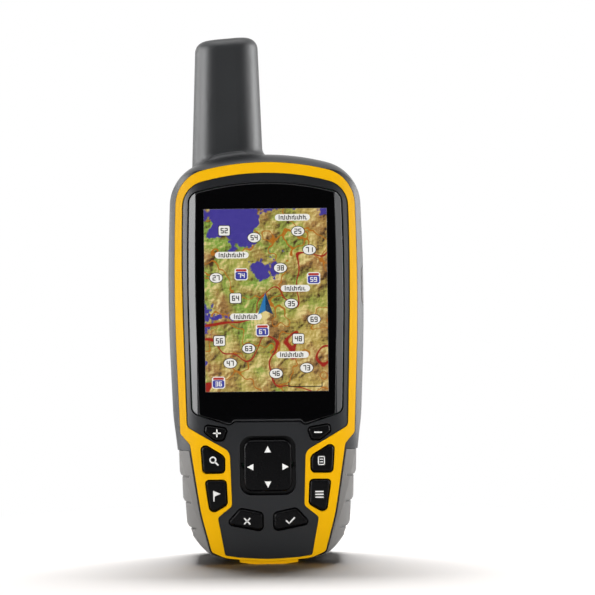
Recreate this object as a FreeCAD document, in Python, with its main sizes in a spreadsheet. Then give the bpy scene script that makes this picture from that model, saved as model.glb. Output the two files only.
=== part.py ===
import FreeCAD, Part
import math
import os
import re
from types import SimpleNamespace

# Handheld satellite navigator. X runs to the right of the face, Y from the face to the back, Z up along
# the case. The middle of the foot is the origin, and y = 0 is half the depth.

Vector = FreeCAD.Vector
ALONG_X = Vector(1, 0, 0)
ALONG_Y = Vector(0, 1, 0)
ALONG_Z = Vector(0, 0, 1)

SIZES = {
    # case, with every depth counted from y = 0
    "face_depth": 17.0,
    "side_depth": 9.0,
    "joint_depth": 4.0,
    "bend_depth": 4.0,
    "back_depth": 15.0,
    "back_round": 9.0,
    "crown_flat": 16.0,
    "crown_radius": 16.0,
    "case_wall": 2.2,
    "piece_gap": 0.3,
    "fit_gap": 0.05,
    # antenna cover
    "antenna_x": -11.5,
    "antenna_y": 4.4,
    "antenna_base_half": 11.5,
    "antenna_tip_half": 9.5,
    "antenna_base_deep": 8.4,
    "antenna_tip_deep": 8.0,
    "antenna_corner": 7.6,
    "antenna_root_z": 108.0,
    "antenna_top_z": 160.7,
    "antenna_top_slope": 0.082,
    "antenna_tip_fillet": 3.5,
    "antenna_root_fillet": 3.0,
    "antenna_wall": 1.6,
    # yellow bezel and foot
    "bezel_depth": 1.3,
    "bezel_proud": 0.3,
    "sill_reach": 5.5,
    "foot_half": 8.8,
    "foot_flat_half": 5.0,
    "foot_lift": 0.55,
    "foot_top": 1.0,
    "foot_back": 3.0,
    "foot_key": 0.8,
    # window
    "lens_proud": 0.35,
    "lens_thick": 1.5,
    "lens_gasket": 0.25,
    "lens_ledge": 1.4,
    "frame_groove": 0.45,
    "frame_slope_start": 20.95,
    "frame_slope_drop": 0.62,
    "frame_back": 13.4,
    "frame_tab": 1.6,
    "frame_tab_half": 13.0,
    # display
    "panel_half": 18.9,
    "panel_low_z": 47.8,
    "panel_high_z": 109.4,
    "panel_front": 15.0,
    "panel_thick": 1.8,
    "light_thick": 2.4,
    "carrier_wall": 1.5,
    "carrier_floor": 1.2,
    "carrier_leg": 1.6,
    # keys
    "key_proud": 0.7,
    "key_gap": 0.4,
    "key_rim": 0.5,
    "key_rim_front": 14.5,
    "key_rim_thick": 0.8,
    "key_stem": 1.2,
    "key_stem_back": 11.7,
    "key_edge": 0.6,
    # keypad layers
    "mat_front": 12.8,
    "mat_thick": 0.8,
    "pad_margin": 0.2,
    "pad_low_z": 8.6,
    "pad_high_z": 44.4,
    "pad_board_front": 10.4,
    "pad_board_thick": 1.0,
    "dome_radius": 1.7,
    "dome_height": 0.5,
    "header_half": 8.0,
    # rocker
    "rocker_z": 29.6,
    "rocker_half": 7.2,
    "rocker_tall": 15.5,
    "rocker_corner": 2.6,
    "rocker_front": 18.0,
    "rocker_back": 15.6,
    "rocker_edge": 0.8,
    "rocker_moat": 1.2,
    "rocker_floor": 14.2,
    "rocker_floor_thick": 1.0,
    "gimbal_depth": 14.8,
    "gimbal_radius": 0.8,
    "gimbal_half": 4.3,
    "saddle_half": 1.4,
    "saddle_width": 1.4,
    "saddle_lip": 0.35,
    "saddle_room": 0.45,
    "rocker_post": 0.8,
    "rocker_post_reach": 6.3,
    "rocker_post_back": 11.45,
    # main board
    "board_front": 7.4,
    "board_thick": 1.0,
    "board_gap": 0.8,
    "board_low_z": 8.5,
    "can_height": 2.2,
    # screws
    "case_screw_low_x": 21.2,
    "case_screw_low_z": 13.0,
    "case_screw_high_x": 24.3,
    "case_screw_high_z": 98.0,
    "case_boss": 2.3,
    "case_screw": 1.0,
    "case_screw_head": 1.9,
    "case_screw_long": 7.5,
    "screw_head_tall": 1.4,
    "screw_seat": 1.8,
    "head_gap": 0.25,
    "board_screw_low_x": 20.8,
    "board_screw_low_z": 22.0,
    "board_screw_high_x": 17.0,
    "board_screw_high_z": 115.6,
    "board_boss": 2.0,
    "board_screw": 0.8,
    "board_screw_head": 1.6,
    # seal and grips
    "seal_inset": 1.4,
    "seal_width": 0.6,
    "seal_thick": 0.6,
    "grip_top_z": 34.1,
    "grip_back": 8.0,
    "grip_inner_x": 17.0,
    "grip_corner": 2.0,
    "grip_thick": 1.3,
    "grip_proud": 0.2,
    "grip_rim": 0.55,
    "lap_pitch": 7.8,
    "lap_sunk": 0.55,
    "lap_step": 1.1,
    "lap_groove_deep": 0.45,
    "lap_groove_half": 0.3,
    "lap_groove_front": 15.2,
    # power key
    "power_low_z": 78.0,
    "power_high_z": 89.4,
    "power_front": 10.0,
    "power_back": 5.7,
    "power_corner": 1.4,
    "power_gap": 0.3,
    "power_plate_out": 27.3,
    "power_plate_in": 26.3,
    "power_plate_front": 8.3,
    "power_plate_rim": 0.8,
    "power_travel": 0.4,
    "power_lip_x": 28.65,
    "power_lip_depth": 9.2,
    "switch_wide": 2.6,
    "switch_tall": 4.0,
    # cells and their bay
    "cell_radius": 7.25,
    "cell_long": 49.5,
    "cell_nub": 1.0,
    "cell_nub_radius": 2.7,
    "cell_gap": 0.4,
    "cell_y": 5.6,
    "bay_low_z": 18.4,
    "bay_long": 54.8,
    "bay_wall": 1.3,
    "contact_thick": 0.5,
    "spring_room": 3.0,
    "leaf_half": 4.2,
    "leaf_thick": 0.3,
    "leaf_wide": 5.0,
    # battery cover and its latch
    "cover_half": 18.3,
    "cover_low_z": 9.8,
    "cover_high_z": 74.6,
    "cover_corner": 3.0,
    "cover_thick": 1.35,
    "cover_proud": 0.3,
    "cover_tab": 3.0,
    "cover_tab_x": 13.4,
    "cover_tab_reach": 1.8,
    "cover_tab_room": 0.3,
    "cover_gasket": 0.45,
    "latch_z": 14.0,
    "latch_shaft": 1.9,
    "latch_knob": 4.0,
    "latch_knob_thick": 0.7,
    "latch_cam_half": 2.8,
    "latch_cam_tall": 3.0,
    "latch_lug": 1.5,
    "ring_wire": 0.9,
    "ring_half": 6.0,
    "ring_drop": 5.2,
    # connectors
    "port_z": 92.0,
    "port_x": 13.0,
    "port_board_y": 2.6,
    "port_board_thick": 1.0,
    "port_cap_wide": 12.0,
    "port_cap_tall": 9.0,
    "port_cap_thick": 1.3,
    "port_hinge_x": 19.2,
    "usb_wide": 7.8,
    "usb_tall": 4.0,
    "usb_shell": 0.35,
    "jack_radius": 2.4,
    "jack_bore": 1.5,
    "plug_deep": 1.8,
    # mounting spine
    "spine_z": 95.0,
    "spine_long": 20.0,
    "spine_neck_half": 3.2,
    "spine_head_half": 5.2,
    "spine_neck_tall": 1.4,
    "spine_head_tall": 1.4,
    # antenna parts
    "holder_low_z": 108.0,
    "holder_tall": 4.0,
    "holder_half": 6.4,
    "amp_thick": 1.2,
    "former_radius": 5.4,
    "former_wall": 0.9,
    "former_top_gap": 9.5,
    "former_plug": 1.2,
    "strip_thick": 0.15,
    "strip_wide": 1.8,
    "strip_turns": 0.5,
    "beeper_radius": 4.5,
    "beeper_tall": 2.4,
}

# Half outlines, x right and z up, clockwise from the middle of the top: (x, z, corner radius).
SIDE = [(0, 126.05, 76), (28.65, 118.7, 14.1), (30.06, 80.0, 500), (28.6, 44.0, 60), (27.25, 33.0, 60),
        (25.4, 17.0, 60), (23.37, 1.78, 15), (6.0, 1.03, 30), (0, 0.73, 150)]
FACE = [(0, 123.1, 77), (26.8, 116.5, 10.7), (28.1, 84.0, 600), (26.35, 39.2, 1.6), (23.4, 36.0, 1.6),
        (20.2, 15.3, 60), (17.1, 3.75, 1.2), (12.8, 1.75, 10), (0, 0.73, 60)]
BEZEL_HOLE = [(0, 120.16, 77), (24.9, 113.6, 8.0), (25.6, 90.0, 600), (24.35, 41.3, 2.0), (11.4, 33.9, 3.2),
              (10.9, 17.55, 1.4), (15.2, 14.05, 1.3), (13.1, 2.65, 0.9), (9.0, 2.0, 10), (0, 1.4, 60)]
LENS = [(0, 116.7, 79), (20.75, 111.5, 0.6), (21.3, 85.0, 600), (20.3, 44.8, 0.8), (11.1, 42.3, 0.9),
        (10.1, 43.5, 1.0)]
FRAME = [(0, 116.97, 80), (22.75, 111.25, 3.2), (23.45, 85.0, 600), (22.45, 45.75, 2.2), (11.2, 42.0, 1.1),
         (10.1, 43.1, 1.2)]

# Key openings on the left half, clockwise, with the middle of each key's stem.
KEYS = {
    "zoom": ([(-18.9, 42.35, 1.2), (-11.6, 41.1, 1.3), (-13.0, 36.9, 1.5), (-15.9, 36.9, 1.8),
              (-19.3, 39.6, 1.2)], (-15.3, 39.6)),
    "upper": ([(-20.4, 37.2, 1.5), (-12.7, 32.5, 2.4), (-12.8, 27.25, 1.5), (-19.7, 27.25, 1.4)],
              (-16.3, 31.2)),
    "lower": ([(-19.15, 25.55, 1.3), (-12.4, 25.55, 1.4), (-12.1, 17.8, 1.6), (-17.6, 14.7, 1.7)],
              (-15.4, 21.4)),
    "bottom": ([(-13.2, 11.9, 1.3), (-8.5, 17.1, 1.7), (-1.36, 15.6, 1.7), (-1.36, 9.5, 1.6)],
               (-6.4, 13.4)),
}
KEY_NAMES = {
    "zoom": ("key_zoom_in", "key_zoom_out"),
    "upper": ("key_find", "key_page"),
    "lower": ("key_mark", "key_menu"),
    "bottom": ("key_quit", "key_enter"),
}

doc = FreeCAD.newDocument("navigator")
sheet = doc.addObject("Spreadsheet::Sheet", "Sizes")
for row, (alias, number) in enumerate(SIZES.items(), 1):
    sheet.set("A%d" % row, alias)
    sheet.set("B%d" % row, str(number))
    sheet.setAlias("B%d" % row, alias)
doc.recompute()
size = SimpleNamespace(**{alias: float(sheet.get(alias)) for alias in SIZES})
nodes = []


# ---- helpers ------------------------------------------------------------------------------------------

def bind(thing, **rules):
    """Bind properties to sheet cells; dots in a property path are written as double underscores."""
    for path, rule in rules.items():
        text = re.sub(r"\b([a-z][a-z_]+)\b", lambda m: "Sizes." + m.group(1) if m.group(1) in SIZES
                      else m.group(1), str(rule))
        thing.setExpression(path.replace("__", "."), text)


def place(thing, x="0", y="0", z="0"):
    bind(thing, Placement__Base__x=x, Placement__Base__y=y, Placement__Base__z=z)


def box(name, x, y, z):
    """A box from (low, high) rules for each axis."""
    made = doc.addObject("Part::Box", name)
    bind(made, Length="(%s) - (%s)" % (x[1], x[0]), Width="(%s) - (%s)" % (y[1], y[0]),
         Height="(%s) - (%s)" % (z[1], z[0]))
    place(made, x[0], y[0], z[0])
    return made


def rod(name, radius, length, x, y, z, along=ALONG_Y):
    """A cylinder that starts at (x, y, z) and runs along an axis."""
    made = doc.addObject("Part::Cylinder", name)
    made.Placement = FreeCAD.Placement(Vector(), FreeCAD.Rotation(ALONG_Z, along))
    bind(made, Radius=radius, Height=length)
    place(made, x, y, z)
    return made


def joined(name, *things):
    made = doc.addObject("Part::MultiFuse", name)
    made.Shapes = list(things)
    return made


def cut(name, base, *tools):
    made = doc.addObject("Part::Cut", name)
    made.Base = base
    made.Tool = tools[0] if len(tools) == 1 else joined(name + "_tools", *tools)
    return made


def gathered(name, *things):
    made = doc.addObject("Part::Compound", name)
    made.Links = list(things)
    return made


def shaped(name, shape):
    made = doc.addObject("Part::Feature", name)
    made.Shape = shape
    made.Placement = FreeCAD.Placement()
    return made


def node(thing, label):
    thing.Label = label
    nodes.append(thing)
    return thing


def whole(half):
    """The closed outline of a half outline and its mirror image."""
    return half + [(-x, z, r) for x, z, r in reversed(half) if abs(x) > 1e-9]


def mirrored(points):
    return [(-x, z, r) for x, z, r in reversed(points)]


def grown(points, distance):
    """A clockwise outline moved outwards by a distance, corner radii included."""
    moved = []
    for i, (x, z, r) in enumerate(points):
        bx, bz, _ = points[i - 1]
        ax, az, _ = points[(i + 1) % len(points)]
        into = Vector(x - bx, z - bz, 0).normalize()
        out = Vector(ax - x, az - z, 0).normalize()
        left = Vector(-into.y - out.y, into.x + out.x, 0) / (1 + into.dot(out))
        outer = into.x * out.y - into.y * out.x < 0
        radius = max(r + distance, 0.2) if outer else max(r - distance, 0.2)
        moved.append((x + left.x * distance, z + left.y * distance, radius))
    return moved


def wire(points, y):
    """The rounded outline as a wire in the plane at y; its corner arcs share the edges between them."""
    count = len(points)
    corners = [Vector(x, y, z) for x, z, _ in points]
    back = [(corners[i - 1] - corners[i]).normalize() for i in range(count)]
    ahead = [(corners[(i + 1) % count] - corners[i]).normalize() for i in range(count)]
    half = [math.acos(back[i].dot(ahead[i])) / 2 for i in range(count)]
    reach = [points[i][2] / math.tan(half[i]) for i in range(count)]
    room = [0.98 * (corners[(i + 1) % count] - corners[i]).Length / (reach[i] + reach[(i + 1) % count])
            for i in range(count)]
    arcs = []
    for i, corner in enumerate(corners):
        length = reach[i] * min(1, room[i], room[i - 1])
        radius = length * math.tan(half[i])
        middle = corner + (back[i] + ahead[i]).normalize() * (radius / math.sin(half[i]) - radius)
        arcs.append((corner + back[i] * length, middle, corner + ahead[i] * length))
    edges = []
    for i, (start, middle, end) in enumerate(arcs):
        edges.append(Part.Arc(start, middle, end).toShape())
        edges.append(Part.makeLine(end, arcs[(i + 1) % len(arcs)][0]))
    return Part.Wire(edges)


def prism(points, front, back):
    return Part.Face(wire(points, front)).extrude(Vector(0, back - front, 0))


def slab(x, y, z):
    """A plain box as a shape, from (low, high) pairs."""
    return Part.makeBox(x[1] - x[0], y[1] - y[0], z[1] - z[0], Vector(x[0], y[0], z[0]))


def peg(radius, x, z, front, back):
    return Part.makeCylinder(radius, back - front, Vector(x, front, z), ALONG_Y)


def both_sides(x, z):
    return [(x, z), (-x, z)]


# ---- outer form ---------------------------------------------------------------------------------------

def crown(inset):
    """Everything behind the face: flat in the middle, then falling back in an arc to each side."""
    radius = size.crown_radius - inset
    centre = size.crown_radius - size.face_depth
    turn = math.radians(78)

    def point(side, angle):
        return Vector(side * (size.crown_flat + radius * math.sin(angle)),
                      centre - radius * math.cos(angle), -9)

    shoulder = point(1, turn).y
    far = 60
    ring = [Vector(far, shoulder, -9), Vector(far, far, -9), Vector(-far, far, -9),
            Vector(-far, shoulder, -9)]
    edges = [Part.makeLine(point(-1, 0), point(1, 0)),
             Part.Arc(point(1, 0), point(1, turn / 2), point(1, turn)).toShape(),
             Part.makeLine(point(1, turn), ring[0])]
    edges += [Part.makeLine(ring[i], ring[i + 1]) for i in range(3)]
    edges += [Part.makeLine(ring[3], point(-1, turn)),
              Part.Arc(point(-1, turn), point(-1, turn / 2), point(-1, 0)).toShape()]
    return Part.Face(Part.Wire(edges)).extrude(Vector(0, 0, 160))


def blend(share):
    """An outline between the face outline (0) and the side outline (1)."""
    return [tuple(f + (s - f) * share for f, s in zip(face, side)) for face, side in zip(FACE, SIDE)]


forms = {}


def case_form(inset):
    """The case without its antenna, moved inwards by an inset: face band, straight band and rounded back."""
    if inset in forms:
        return forms[inset]
    first = math.radians(35)
    front = []
    for step in range(5):
        angle = first + (math.pi / 2 - first) * step / 4
        share = (math.sin(angle) - math.sin(first)) / (1 - math.sin(first))
        ahead = (math.cos(angle) / math.cos(first)) * (size.face_depth - size.side_depth - inset)
        front.append(wire(grown(whole(blend(share)), -inset), -size.side_depth - ahead))
    side = whole(SIDE)
    back = []
    for step in range(6):
        angle = math.radians(88) * step / 5
        inward = inset + (size.back_round - inset) * (1 - math.cos(angle))
        deep = size.bend_depth + (size.back_depth - inset - size.bend_depth) * math.sin(angle)
        back.append(wire(grown(side, -inward), deep))
    middle = prism(grown(side, -inset), -size.side_depth, size.bend_depth)
    form = Part.makeLoft(front, True, False).fuse([middle, Part.makeLoft(back, True, False)])
    forms[inset] = form.common(crown(inset))
    return forms[inset]


def antenna_section(half, deep, corner, z):
    x0 = size.antenna_x
    y0 = size.antenna_y
    flat = [(x0 - half, y0 + deep, corner), (x0 + half, y0 + deep, corner), (x0 + half, y0 - deep, corner),
            (x0 - half, y0 - deep, corner)]
    section = wire(flat, 0)
    section.rotate(Vector(), ALONG_X, 90)
    section = section.transformGeometry(FreeCAD.Matrix(1, 0, 0, 0, 0, -1, 0, 0, 0, 0, 1, z))
    return section


def antenna_form(inset):
    """The tapered antenna cover with its slanted, rounded top."""
    base = antenna_section(size.antenna_base_half - inset, size.antenna_base_deep - inset,
                           size.antenna_corner - inset, size.antenna_root_z)
    tip = antenna_section(size.antenna_tip_half - inset, size.antenna_tip_deep - inset,
                          size.antenna_corner - inset - 0.8, size.antenna_top_z + 3)
    body = Part.makeLoft([base, tip], True, True)
    top = slab((-60, 60), (-60, 60), (0, 60))
    top.rotate(Vector(), ALONG_Y, -math.degrees(math.atan(size.antenna_top_slope)))
    top.translate(Vector(size.antenna_x + size.antenna_tip_half / 2, 0, size.antenna_top_z - inset))
    body = body.cut(top)
    rim = [edge for edge in body.Edges if edge.BoundBox.ZMin > size.antenna_top_z - inset - 3]
    return body.makeFillet(size.antenna_tip_fillet - inset / 2, rim)


def outer_form():
    """Case and antenna cover as one skin, with a fillet where they meet."""
    case = case_form(0.0)
    antenna = antenna_form(0.0)
    both = case.fuse(antenna)
    seam = case.section(antenna)
    root = []
    for edge in both.Edges:
        middle = edge.valueAt((edge.FirstParameter + edge.LastParameter) / 2)
        if middle.z > size.antenna_root_z and seam.distToShape(Part.Vertex(middle))[0] < 1e-3:
            root.append(edge)
    return both.makeFillet(size.antenna_root_fillet, root)


outer = outer_form()
cavity = case_form(size.case_wall).fuse(antenna_form(size.antenna_wall))


# ---- shared cut-outs ----------------------------------------------------------------------------------

def grip_block(margin):
    """The right side's room for a grip: up to the rim beside the bezel, round the bottom, to the back."""
    block = slab((size.grip_inner_x - margin, 40), (-30, size.grip_back + margin),
                 (-5, size.grip_top_z + margin))
    back_edge = [edge for edge in block.Edges
                 if edge.BoundBox.XLength > 5 and edge.BoundBox.YMin > 0 and edge.BoundBox.ZMin > 0]
    block = block.makeFillet(size.grip_corner + margin, back_edge)
    return block.cut(prism(grown(whole(FACE), size.grip_rim - margin), -31, -size.side_depth))


def grip_pocket():
    return grip_block(size.fit_gap).cut(case_form(size.grip_thick))


def on_left(shape):
    """A right-hand shape turned into its mirror image on the left."""
    return shape.mirror(Vector(), ALONG_X)


def power_block(margin, travel):
    """The power key's outline run inwards from the side; its front lip stays shallow beside the bezel."""
    block = slab((size.power_plate_in - travel, 40), (-size.power_front - margin, -size.power_back + margin),
                 (size.power_low_z - margin, size.power_high_z + margin))
    long_edges = [edge for edge in block.Edges if edge.BoundBox.XLength > 5]
    block = block.makeFillet(size.power_corner + margin, long_edges)
    return block.cut(slab((0, size.power_lip_x - travel), (-40, -size.power_lip_depth - margin), (0, 200)))


def case_screw_spots():
    return (both_sides(size.case_screw_low_x, size.case_screw_low_z)
            + both_sides(size.case_screw_high_x, size.case_screw_high_z))


def board_screw_spots():
    return (both_sides(size.board_screw_low_x, size.board_screw_low_z)
            + both_sides(size.board_screw_high_x, size.board_screw_high_z))


def key_outline(kind, side):
    """A key's opening on the left (side 0) or on the right (side 1)."""
    points = KEYS[kind][0]
    return mirrored(points) if side else points


def key_middle(kind, side):
    x, z = KEYS[kind][1]
    return (-x, z) if side else (x, z)


def key_middles():
    return [key_middle(kind, side) for kind in KEYS for side in (0, 1)]


def outer_key_x():
    """How far out the outermost key's stem stands."""
    return max(abs(x) for x, _ in key_middles())


def rocker_corners(grow, radius):
    half = size.rocker_half + grow
    tall = size.rocker_tall / 2 + grow
    return [(-half, size.rocker_z + tall, radius), (half, size.rocker_z + tall, radius),
            (half, size.rocker_z - tall, radius), (-half, size.rocker_z - tall, radius)]


def rocker_post_spots():
    reach = size.rocker_post_reach
    return [(reach, size.rocker_z), (-reach, size.rocker_z), (0, size.rocker_z + reach),
            (0, size.rocker_z - reach)]


# ---- housings -----------------------------------------------------------------------------------------

def screw_bosses(front, back, spots, radius, hole):
    """Bosses for screws from the inner skin to a seat, kept inside the outer skin."""
    posts = [peg(radius, x, z, front, back) for x, z in spots]
    inside = case_form(size.bezel_depth)
    solid = [post.common(inside) for post in posts]
    holes = [peg(hole, x, z, front + 3, back + 1) for x, z in spots]
    return solid, holes


def rocker_seat():
    """Floor under the rocker with two saddles for the gimbal and windows for its posts."""
    floor_back = -size.rocker_floor + size.rocker_floor_thick
    plate = prism(rocker_corners(size.rocker_moat + 1.2, 3.2), -size.face_depth + 1.5, floor_back)
    moat = prism(rocker_corners(size.rocker_moat, size.rocker_corner + 0.9), -30, -size.rocker_floor)
    saddles = []
    for sign in (1, -1):
        middle = sign * (size.gimbal_half - size.saddle_width / 2)
        block = slab((middle - size.saddle_width / 2, middle + size.saddle_width / 2),
                     (-size.gimbal_depth - size.saddle_lip, floor_back),
                     (size.rocker_z - size.saddle_half, size.rocker_z + size.saddle_half))
        saddles.append(block)
    bore = Part.makeCylinder(size.gimbal_radius + size.fit_gap, 20,
                             Vector(-10, -size.gimbal_depth, size.rocker_z),
                             ALONG_X)
    windows = [peg(size.rocker_post + 0.7, x, z, -20, -10) for x, z in rocker_post_spots()]
    gate_half = size.saddle_width / 2 + 0.6
    gate_tall = size.gimbal_half + 0.6
    gate = slab((-gate_half, gate_half), (-20, -10), (size.rocker_z - gate_tall, size.rocker_z + gate_tall))
    return plate, moat, saddles, bore, windows, gate


def bezel_ring(margin):
    """Room for the bezel in the skin; its sill along the bottom edge is only as deep as the rest."""
    ring = prism(grown(whole(FACE), margin), -30, -5)
    ring = ring.cut(prism(grown(whole(BEZEL_HOLE), -margin), -31, -4))
    ring = ring.cut(case_form(size.bezel_depth))
    low = min(z for _, z, _ in FACE)
    under = slab((-30, 30), (-size.face_depth + size.bezel_depth + margin, 0),
                 (low - 5, low + size.sill_reach))
    return ring.cut(under)


def make_front_housing():
    front = outer.common(slab((-60, 60), (-40, -size.joint_depth), (-20, 200))).cut(cavity)
    posts, holes = screw_bosses(-16.0, -size.joint_depth, case_screw_spots(), size.case_boss,
                                size.case_screw + 0.02)
    more, more_holes = screw_bosses(-16.0, -size.board_front, board_screw_spots(), size.board_boss,
                                    size.board_screw + 0.02)
    plate, moat, saddles, bore, windows, gate = rocker_seat()
    front = front.fuse(posts + more + [plate])
    deep = -10.5
    cuts = [moat, gate] + windows + holes + more_holes
    cuts.append(prism(grown(whole(FRAME), size.frame_groove), -30, deep))
    cuts.append(bezel_ring(size.fit_gap))
    for kind in KEYS:
        for side in (0, 1):
            opening = key_outline(kind, side)
            cuts.append(prism(opening, -30, deep))
            cuts.append(prism(grown(opening, size.key_rim), -size.key_rim_front - 0.2, deep))
    cuts.append(power_block(size.power_gap, size.power_travel + size.fit_gap))
    cuts += [grip_pocket(), on_left(grip_pocket()), foot_shape(size.fit_gap)]
    front = front.cut(cuts)
    front = front.fuse(saddles).cut([bore])
    return biggest(front)


def biggest(shape):
    """The main solid of a cut shape, without shavings outside its walls."""
    return max(shape.Solids, key=lambda solid: solid.Volume)


def foot_shape(margin):
    """Yellow foot under the case, flat in its middle and rising to its ends, keyed in by a tongue."""
    half = size.foot_half
    flat = size.foot_flat_half
    lift = size.foot_lift
    above = size.foot_top + 1.5
    line = [(-half, above, 0.2), (half, above, 0.2), (half, lift, 0.3), (flat, 0, 20), (-flat, 0, 20),
            (-half, lift, 0.3)]
    pad = prism(grown(line, margin), -size.face_depth - margin, size.foot_back + margin)
    pad = pad.cut([case_form(margin), prism(grown(whole(FACE), -margin), -31, -size.side_depth)])
    tongue = slab((-flat - margin, flat + margin),
                  (-size.face_depth + 4 - margin, -size.joint_depth - 3 + margin),
                  (0.5, size.foot_top + size.foot_key + margin))
    return biggest(pad).fuse(tongue)


def bay_limits():
    half = 2 * size.cell_radius + size.cell_gap / 2 + 0.5
    return half, size.bay_low_z, size.bay_low_z + size.bay_long


def cover_corners(grow):
    radius = size.cover_corner + grow
    half = size.cover_half + grow
    return [(-half, size.cover_high_z + grow, radius), (half, size.cover_high_z + grow, radius),
            (half, size.cover_low_z - grow, radius), (-half, size.cover_low_z - grow, radius)]


def latch_pocket():
    """Chamber for the latch cam below the cells, as a solid block and the room inside it."""
    half = size.latch_cam_half + 1.0
    low = size.latch_z - half
    high = min(size.latch_z + half, size.bay_low_z - size.bay_wall - 0.1)
    ledge = cover_ledge()
    block = slab((-half - 1.2, half + 1.2), (ledge - 5.4, ledge), (low - 1.2, high + 1.2))
    room = peg(half, 0, size.latch_z, ledge - 4.2, ledge + 1).common(
        slab((-half, half), (ledge - 5, ledge + 2), (low, high)))
    return block, room


def cover_ledge():
    """Depth of the ledge that the battery cover sits on."""
    return size.back_depth + size.cover_proud - size.cover_thick - size.fit_gap


def tab_spots():
    return [size.cover_tab_x, -size.cover_tab_x]


def port_cap_corners(side, grow):
    outer_x = size.port_hinge_x
    inner_x = outer_x - size.port_cap_wide
    low = size.port_z - size.port_cap_tall / 2
    high = size.port_z + size.port_cap_tall / 2
    points = [(inner_x - grow, high + grow, 1.5 + grow), (outer_x + grow, high + grow, 1.0 + grow),
              (outer_x + grow, low - grow, 1.0 + grow), (inner_x - grow, low - grow, 1.5 + grow)]
    return points if side > 0 else mirrored(points)


def make_rear_housing():
    half, low, high = bay_limits()
    ledge = cover_ledge()
    floor = size.cell_y - size.cell_radius - 0.4
    rear = outer.common(slab((-60, 60), (-size.joint_depth, 60), (-20, 200))).cut(cavity)
    inside = case_form(size.bezel_depth)
    tab_top = size.cover_high_z + size.cover_tab_reach + size.cover_tab_room
    extra = [slab((-half - size.bay_wall, half + size.bay_wall), (floor - size.bay_wall, ledge),
                  (low - size.bay_wall, high + size.bay_wall)),
             slab((-half - size.bay_wall, half + size.bay_wall), (ledge - 4.6, ledge), (high, tab_top + 1.0)),
             latch_pocket()[0]]
    for x, z in case_screw_spots():
        extra.append(peg(size.case_boss + 0.3, x, z, -size.joint_depth, 20))
    rear = rear.fuse([piece.common(inside) for piece in extra])
    cuts = [slab((-half, half), (floor, 30), (low, high)), latch_pocket()[1]]
    cuts.append(prism(cover_corners(size.piece_gap / 2), ledge, 40))
    rim = prism(grown(bay_corners(), 1.6), ledge - size.cover_gasket, ledge + 1)
    cuts.append(rim)
    for x in tab_spots():
        reach = size.cover_tab / 2 + size.cover_tab_room
        cuts.append(slab((x - reach, x + reach), (ledge - 3.6, ledge - 0.2), (high - 1, tab_top)))
        cuts.append(slab((x - reach, x + reach), (ledge - 3.6, ledge + 1), (high - 1, size.cover_high_z)))
    for x, z in case_screw_spots():
        seat = -size.joint_depth + size.screw_seat
        cuts.append(peg(size.case_screw_head + size.head_gap, x, z, seat, 40))
        cuts.append(peg(size.case_screw + 0.1, x, z, -20, 20))
    wide = size.usb_wide / 2 + size.piece_gap
    tall = size.usb_tall / 2 + size.piece_gap
    x = -size.port_x
    cuts.append(slab((x - wide, x + wide), (5, 40), (size.port_z - tall, size.port_z + tall)))
    cuts.append(peg(size.jack_radius + size.piece_gap, size.port_x, size.port_z, 5, 40))
    for side in (-1, 1):
        cuts.append(prism(port_cap_corners(side, 0.2), size.back_depth - size.port_cap_thick - 0.1, 40))
    ring = prism(grown(whole(SIDE), -size.seal_inset + size.fit_gap), -size.joint_depth - 1,
                 -size.joint_depth + size.seal_thick).cut(
        prism(grown(whole(SIDE), -size.seal_inset - size.seal_width - size.fit_gap), -size.joint_depth - 2,
              -size.joint_depth + 2))
    cuts += [ring, grip_pocket(), on_left(grip_pocket()), foot_shape(size.fit_gap)]
    return biggest(rear.cut(cuts))


def bay_corners():
    half, low, high = bay_limits()
    return [(-half, high, 1.0), (half, high, 1.0), (half, low, 1.0), (-half, low, 1.0)]


def make_seal():
    ring = prism(grown(whole(SIDE), -size.seal_inset), -size.joint_depth, -size.joint_depth + size.seal_thick)
    hole = prism(grown(whole(SIDE), -size.seal_inset - size.seal_width), -20, 20)
    return ring.cut(hole)


def make_bezel():
    """Yellow ring with its knees, legs and sill, standing a little proud of the face."""
    ring = bezel_ring(0.0).common(case_form(-size.bezel_proud))
    for kind in ("upper", "lower"):
        for side in (0, 1):
            ring = ring.cut(prism(key_outline(kind, side), -30, 0))
    return biggest(ring)


def side_x(z):
    """Half the width of the case at a height."""
    level = Part.makeLine(Vector(1, 0, z), Vector(60, 0, z))
    return wire(whole(SIDE), 0).distToShape(level)[1][0][0].x


def lap_heights():
    """Where one lap of the grip ends and the next begins, from the grip's top downwards."""
    count = int((size.grip_top_z - size.lap_pitch) / size.lap_pitch)
    return [size.grip_top_z - (step + 1) * size.lap_pitch for step in range(count)]


def make_grip():
    """Soft skin over the right side: each lap leans outwards, then steps back in to the next one's top."""
    top = size.grip_top_z
    line = [(0, top + 5, 0.5), (side_x(top) - size.lap_sunk, top + 5, 0.5)]
    for z in lap_heights():
        line.append((side_x(z + size.lap_step) + size.grip_proud, z + size.lap_step, 1.2))
        line.append((side_x(z) - size.lap_sunk, z, 1.0))
    last = lap_heights()[-1] - size.lap_pitch / 2
    line += [(side_x(last) + size.grip_proud, last, 2.0), (40, last - 1, 0.5), (40, -10, 0.5), (0, -10, 0.5)]
    skin = grip_block(0.0).common(case_form(-size.grip_proud)).common(prism(line, -30, 30))
    lines = [slab((0, 60), (-size.lap_groove_front, size.grip_back - size.grip_corner),
                  (z - size.lap_groove_half, z + size.lap_groove_half)).cut(case_form(size.lap_groove_deep))
             for z in lap_heights()]
    return biggest(skin.cut([case_form(size.grip_thick)] + lines))


# ---- window and display -------------------------------------------------------------------------------

def lens_front():
    return -size.face_depth - size.lens_proud


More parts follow.
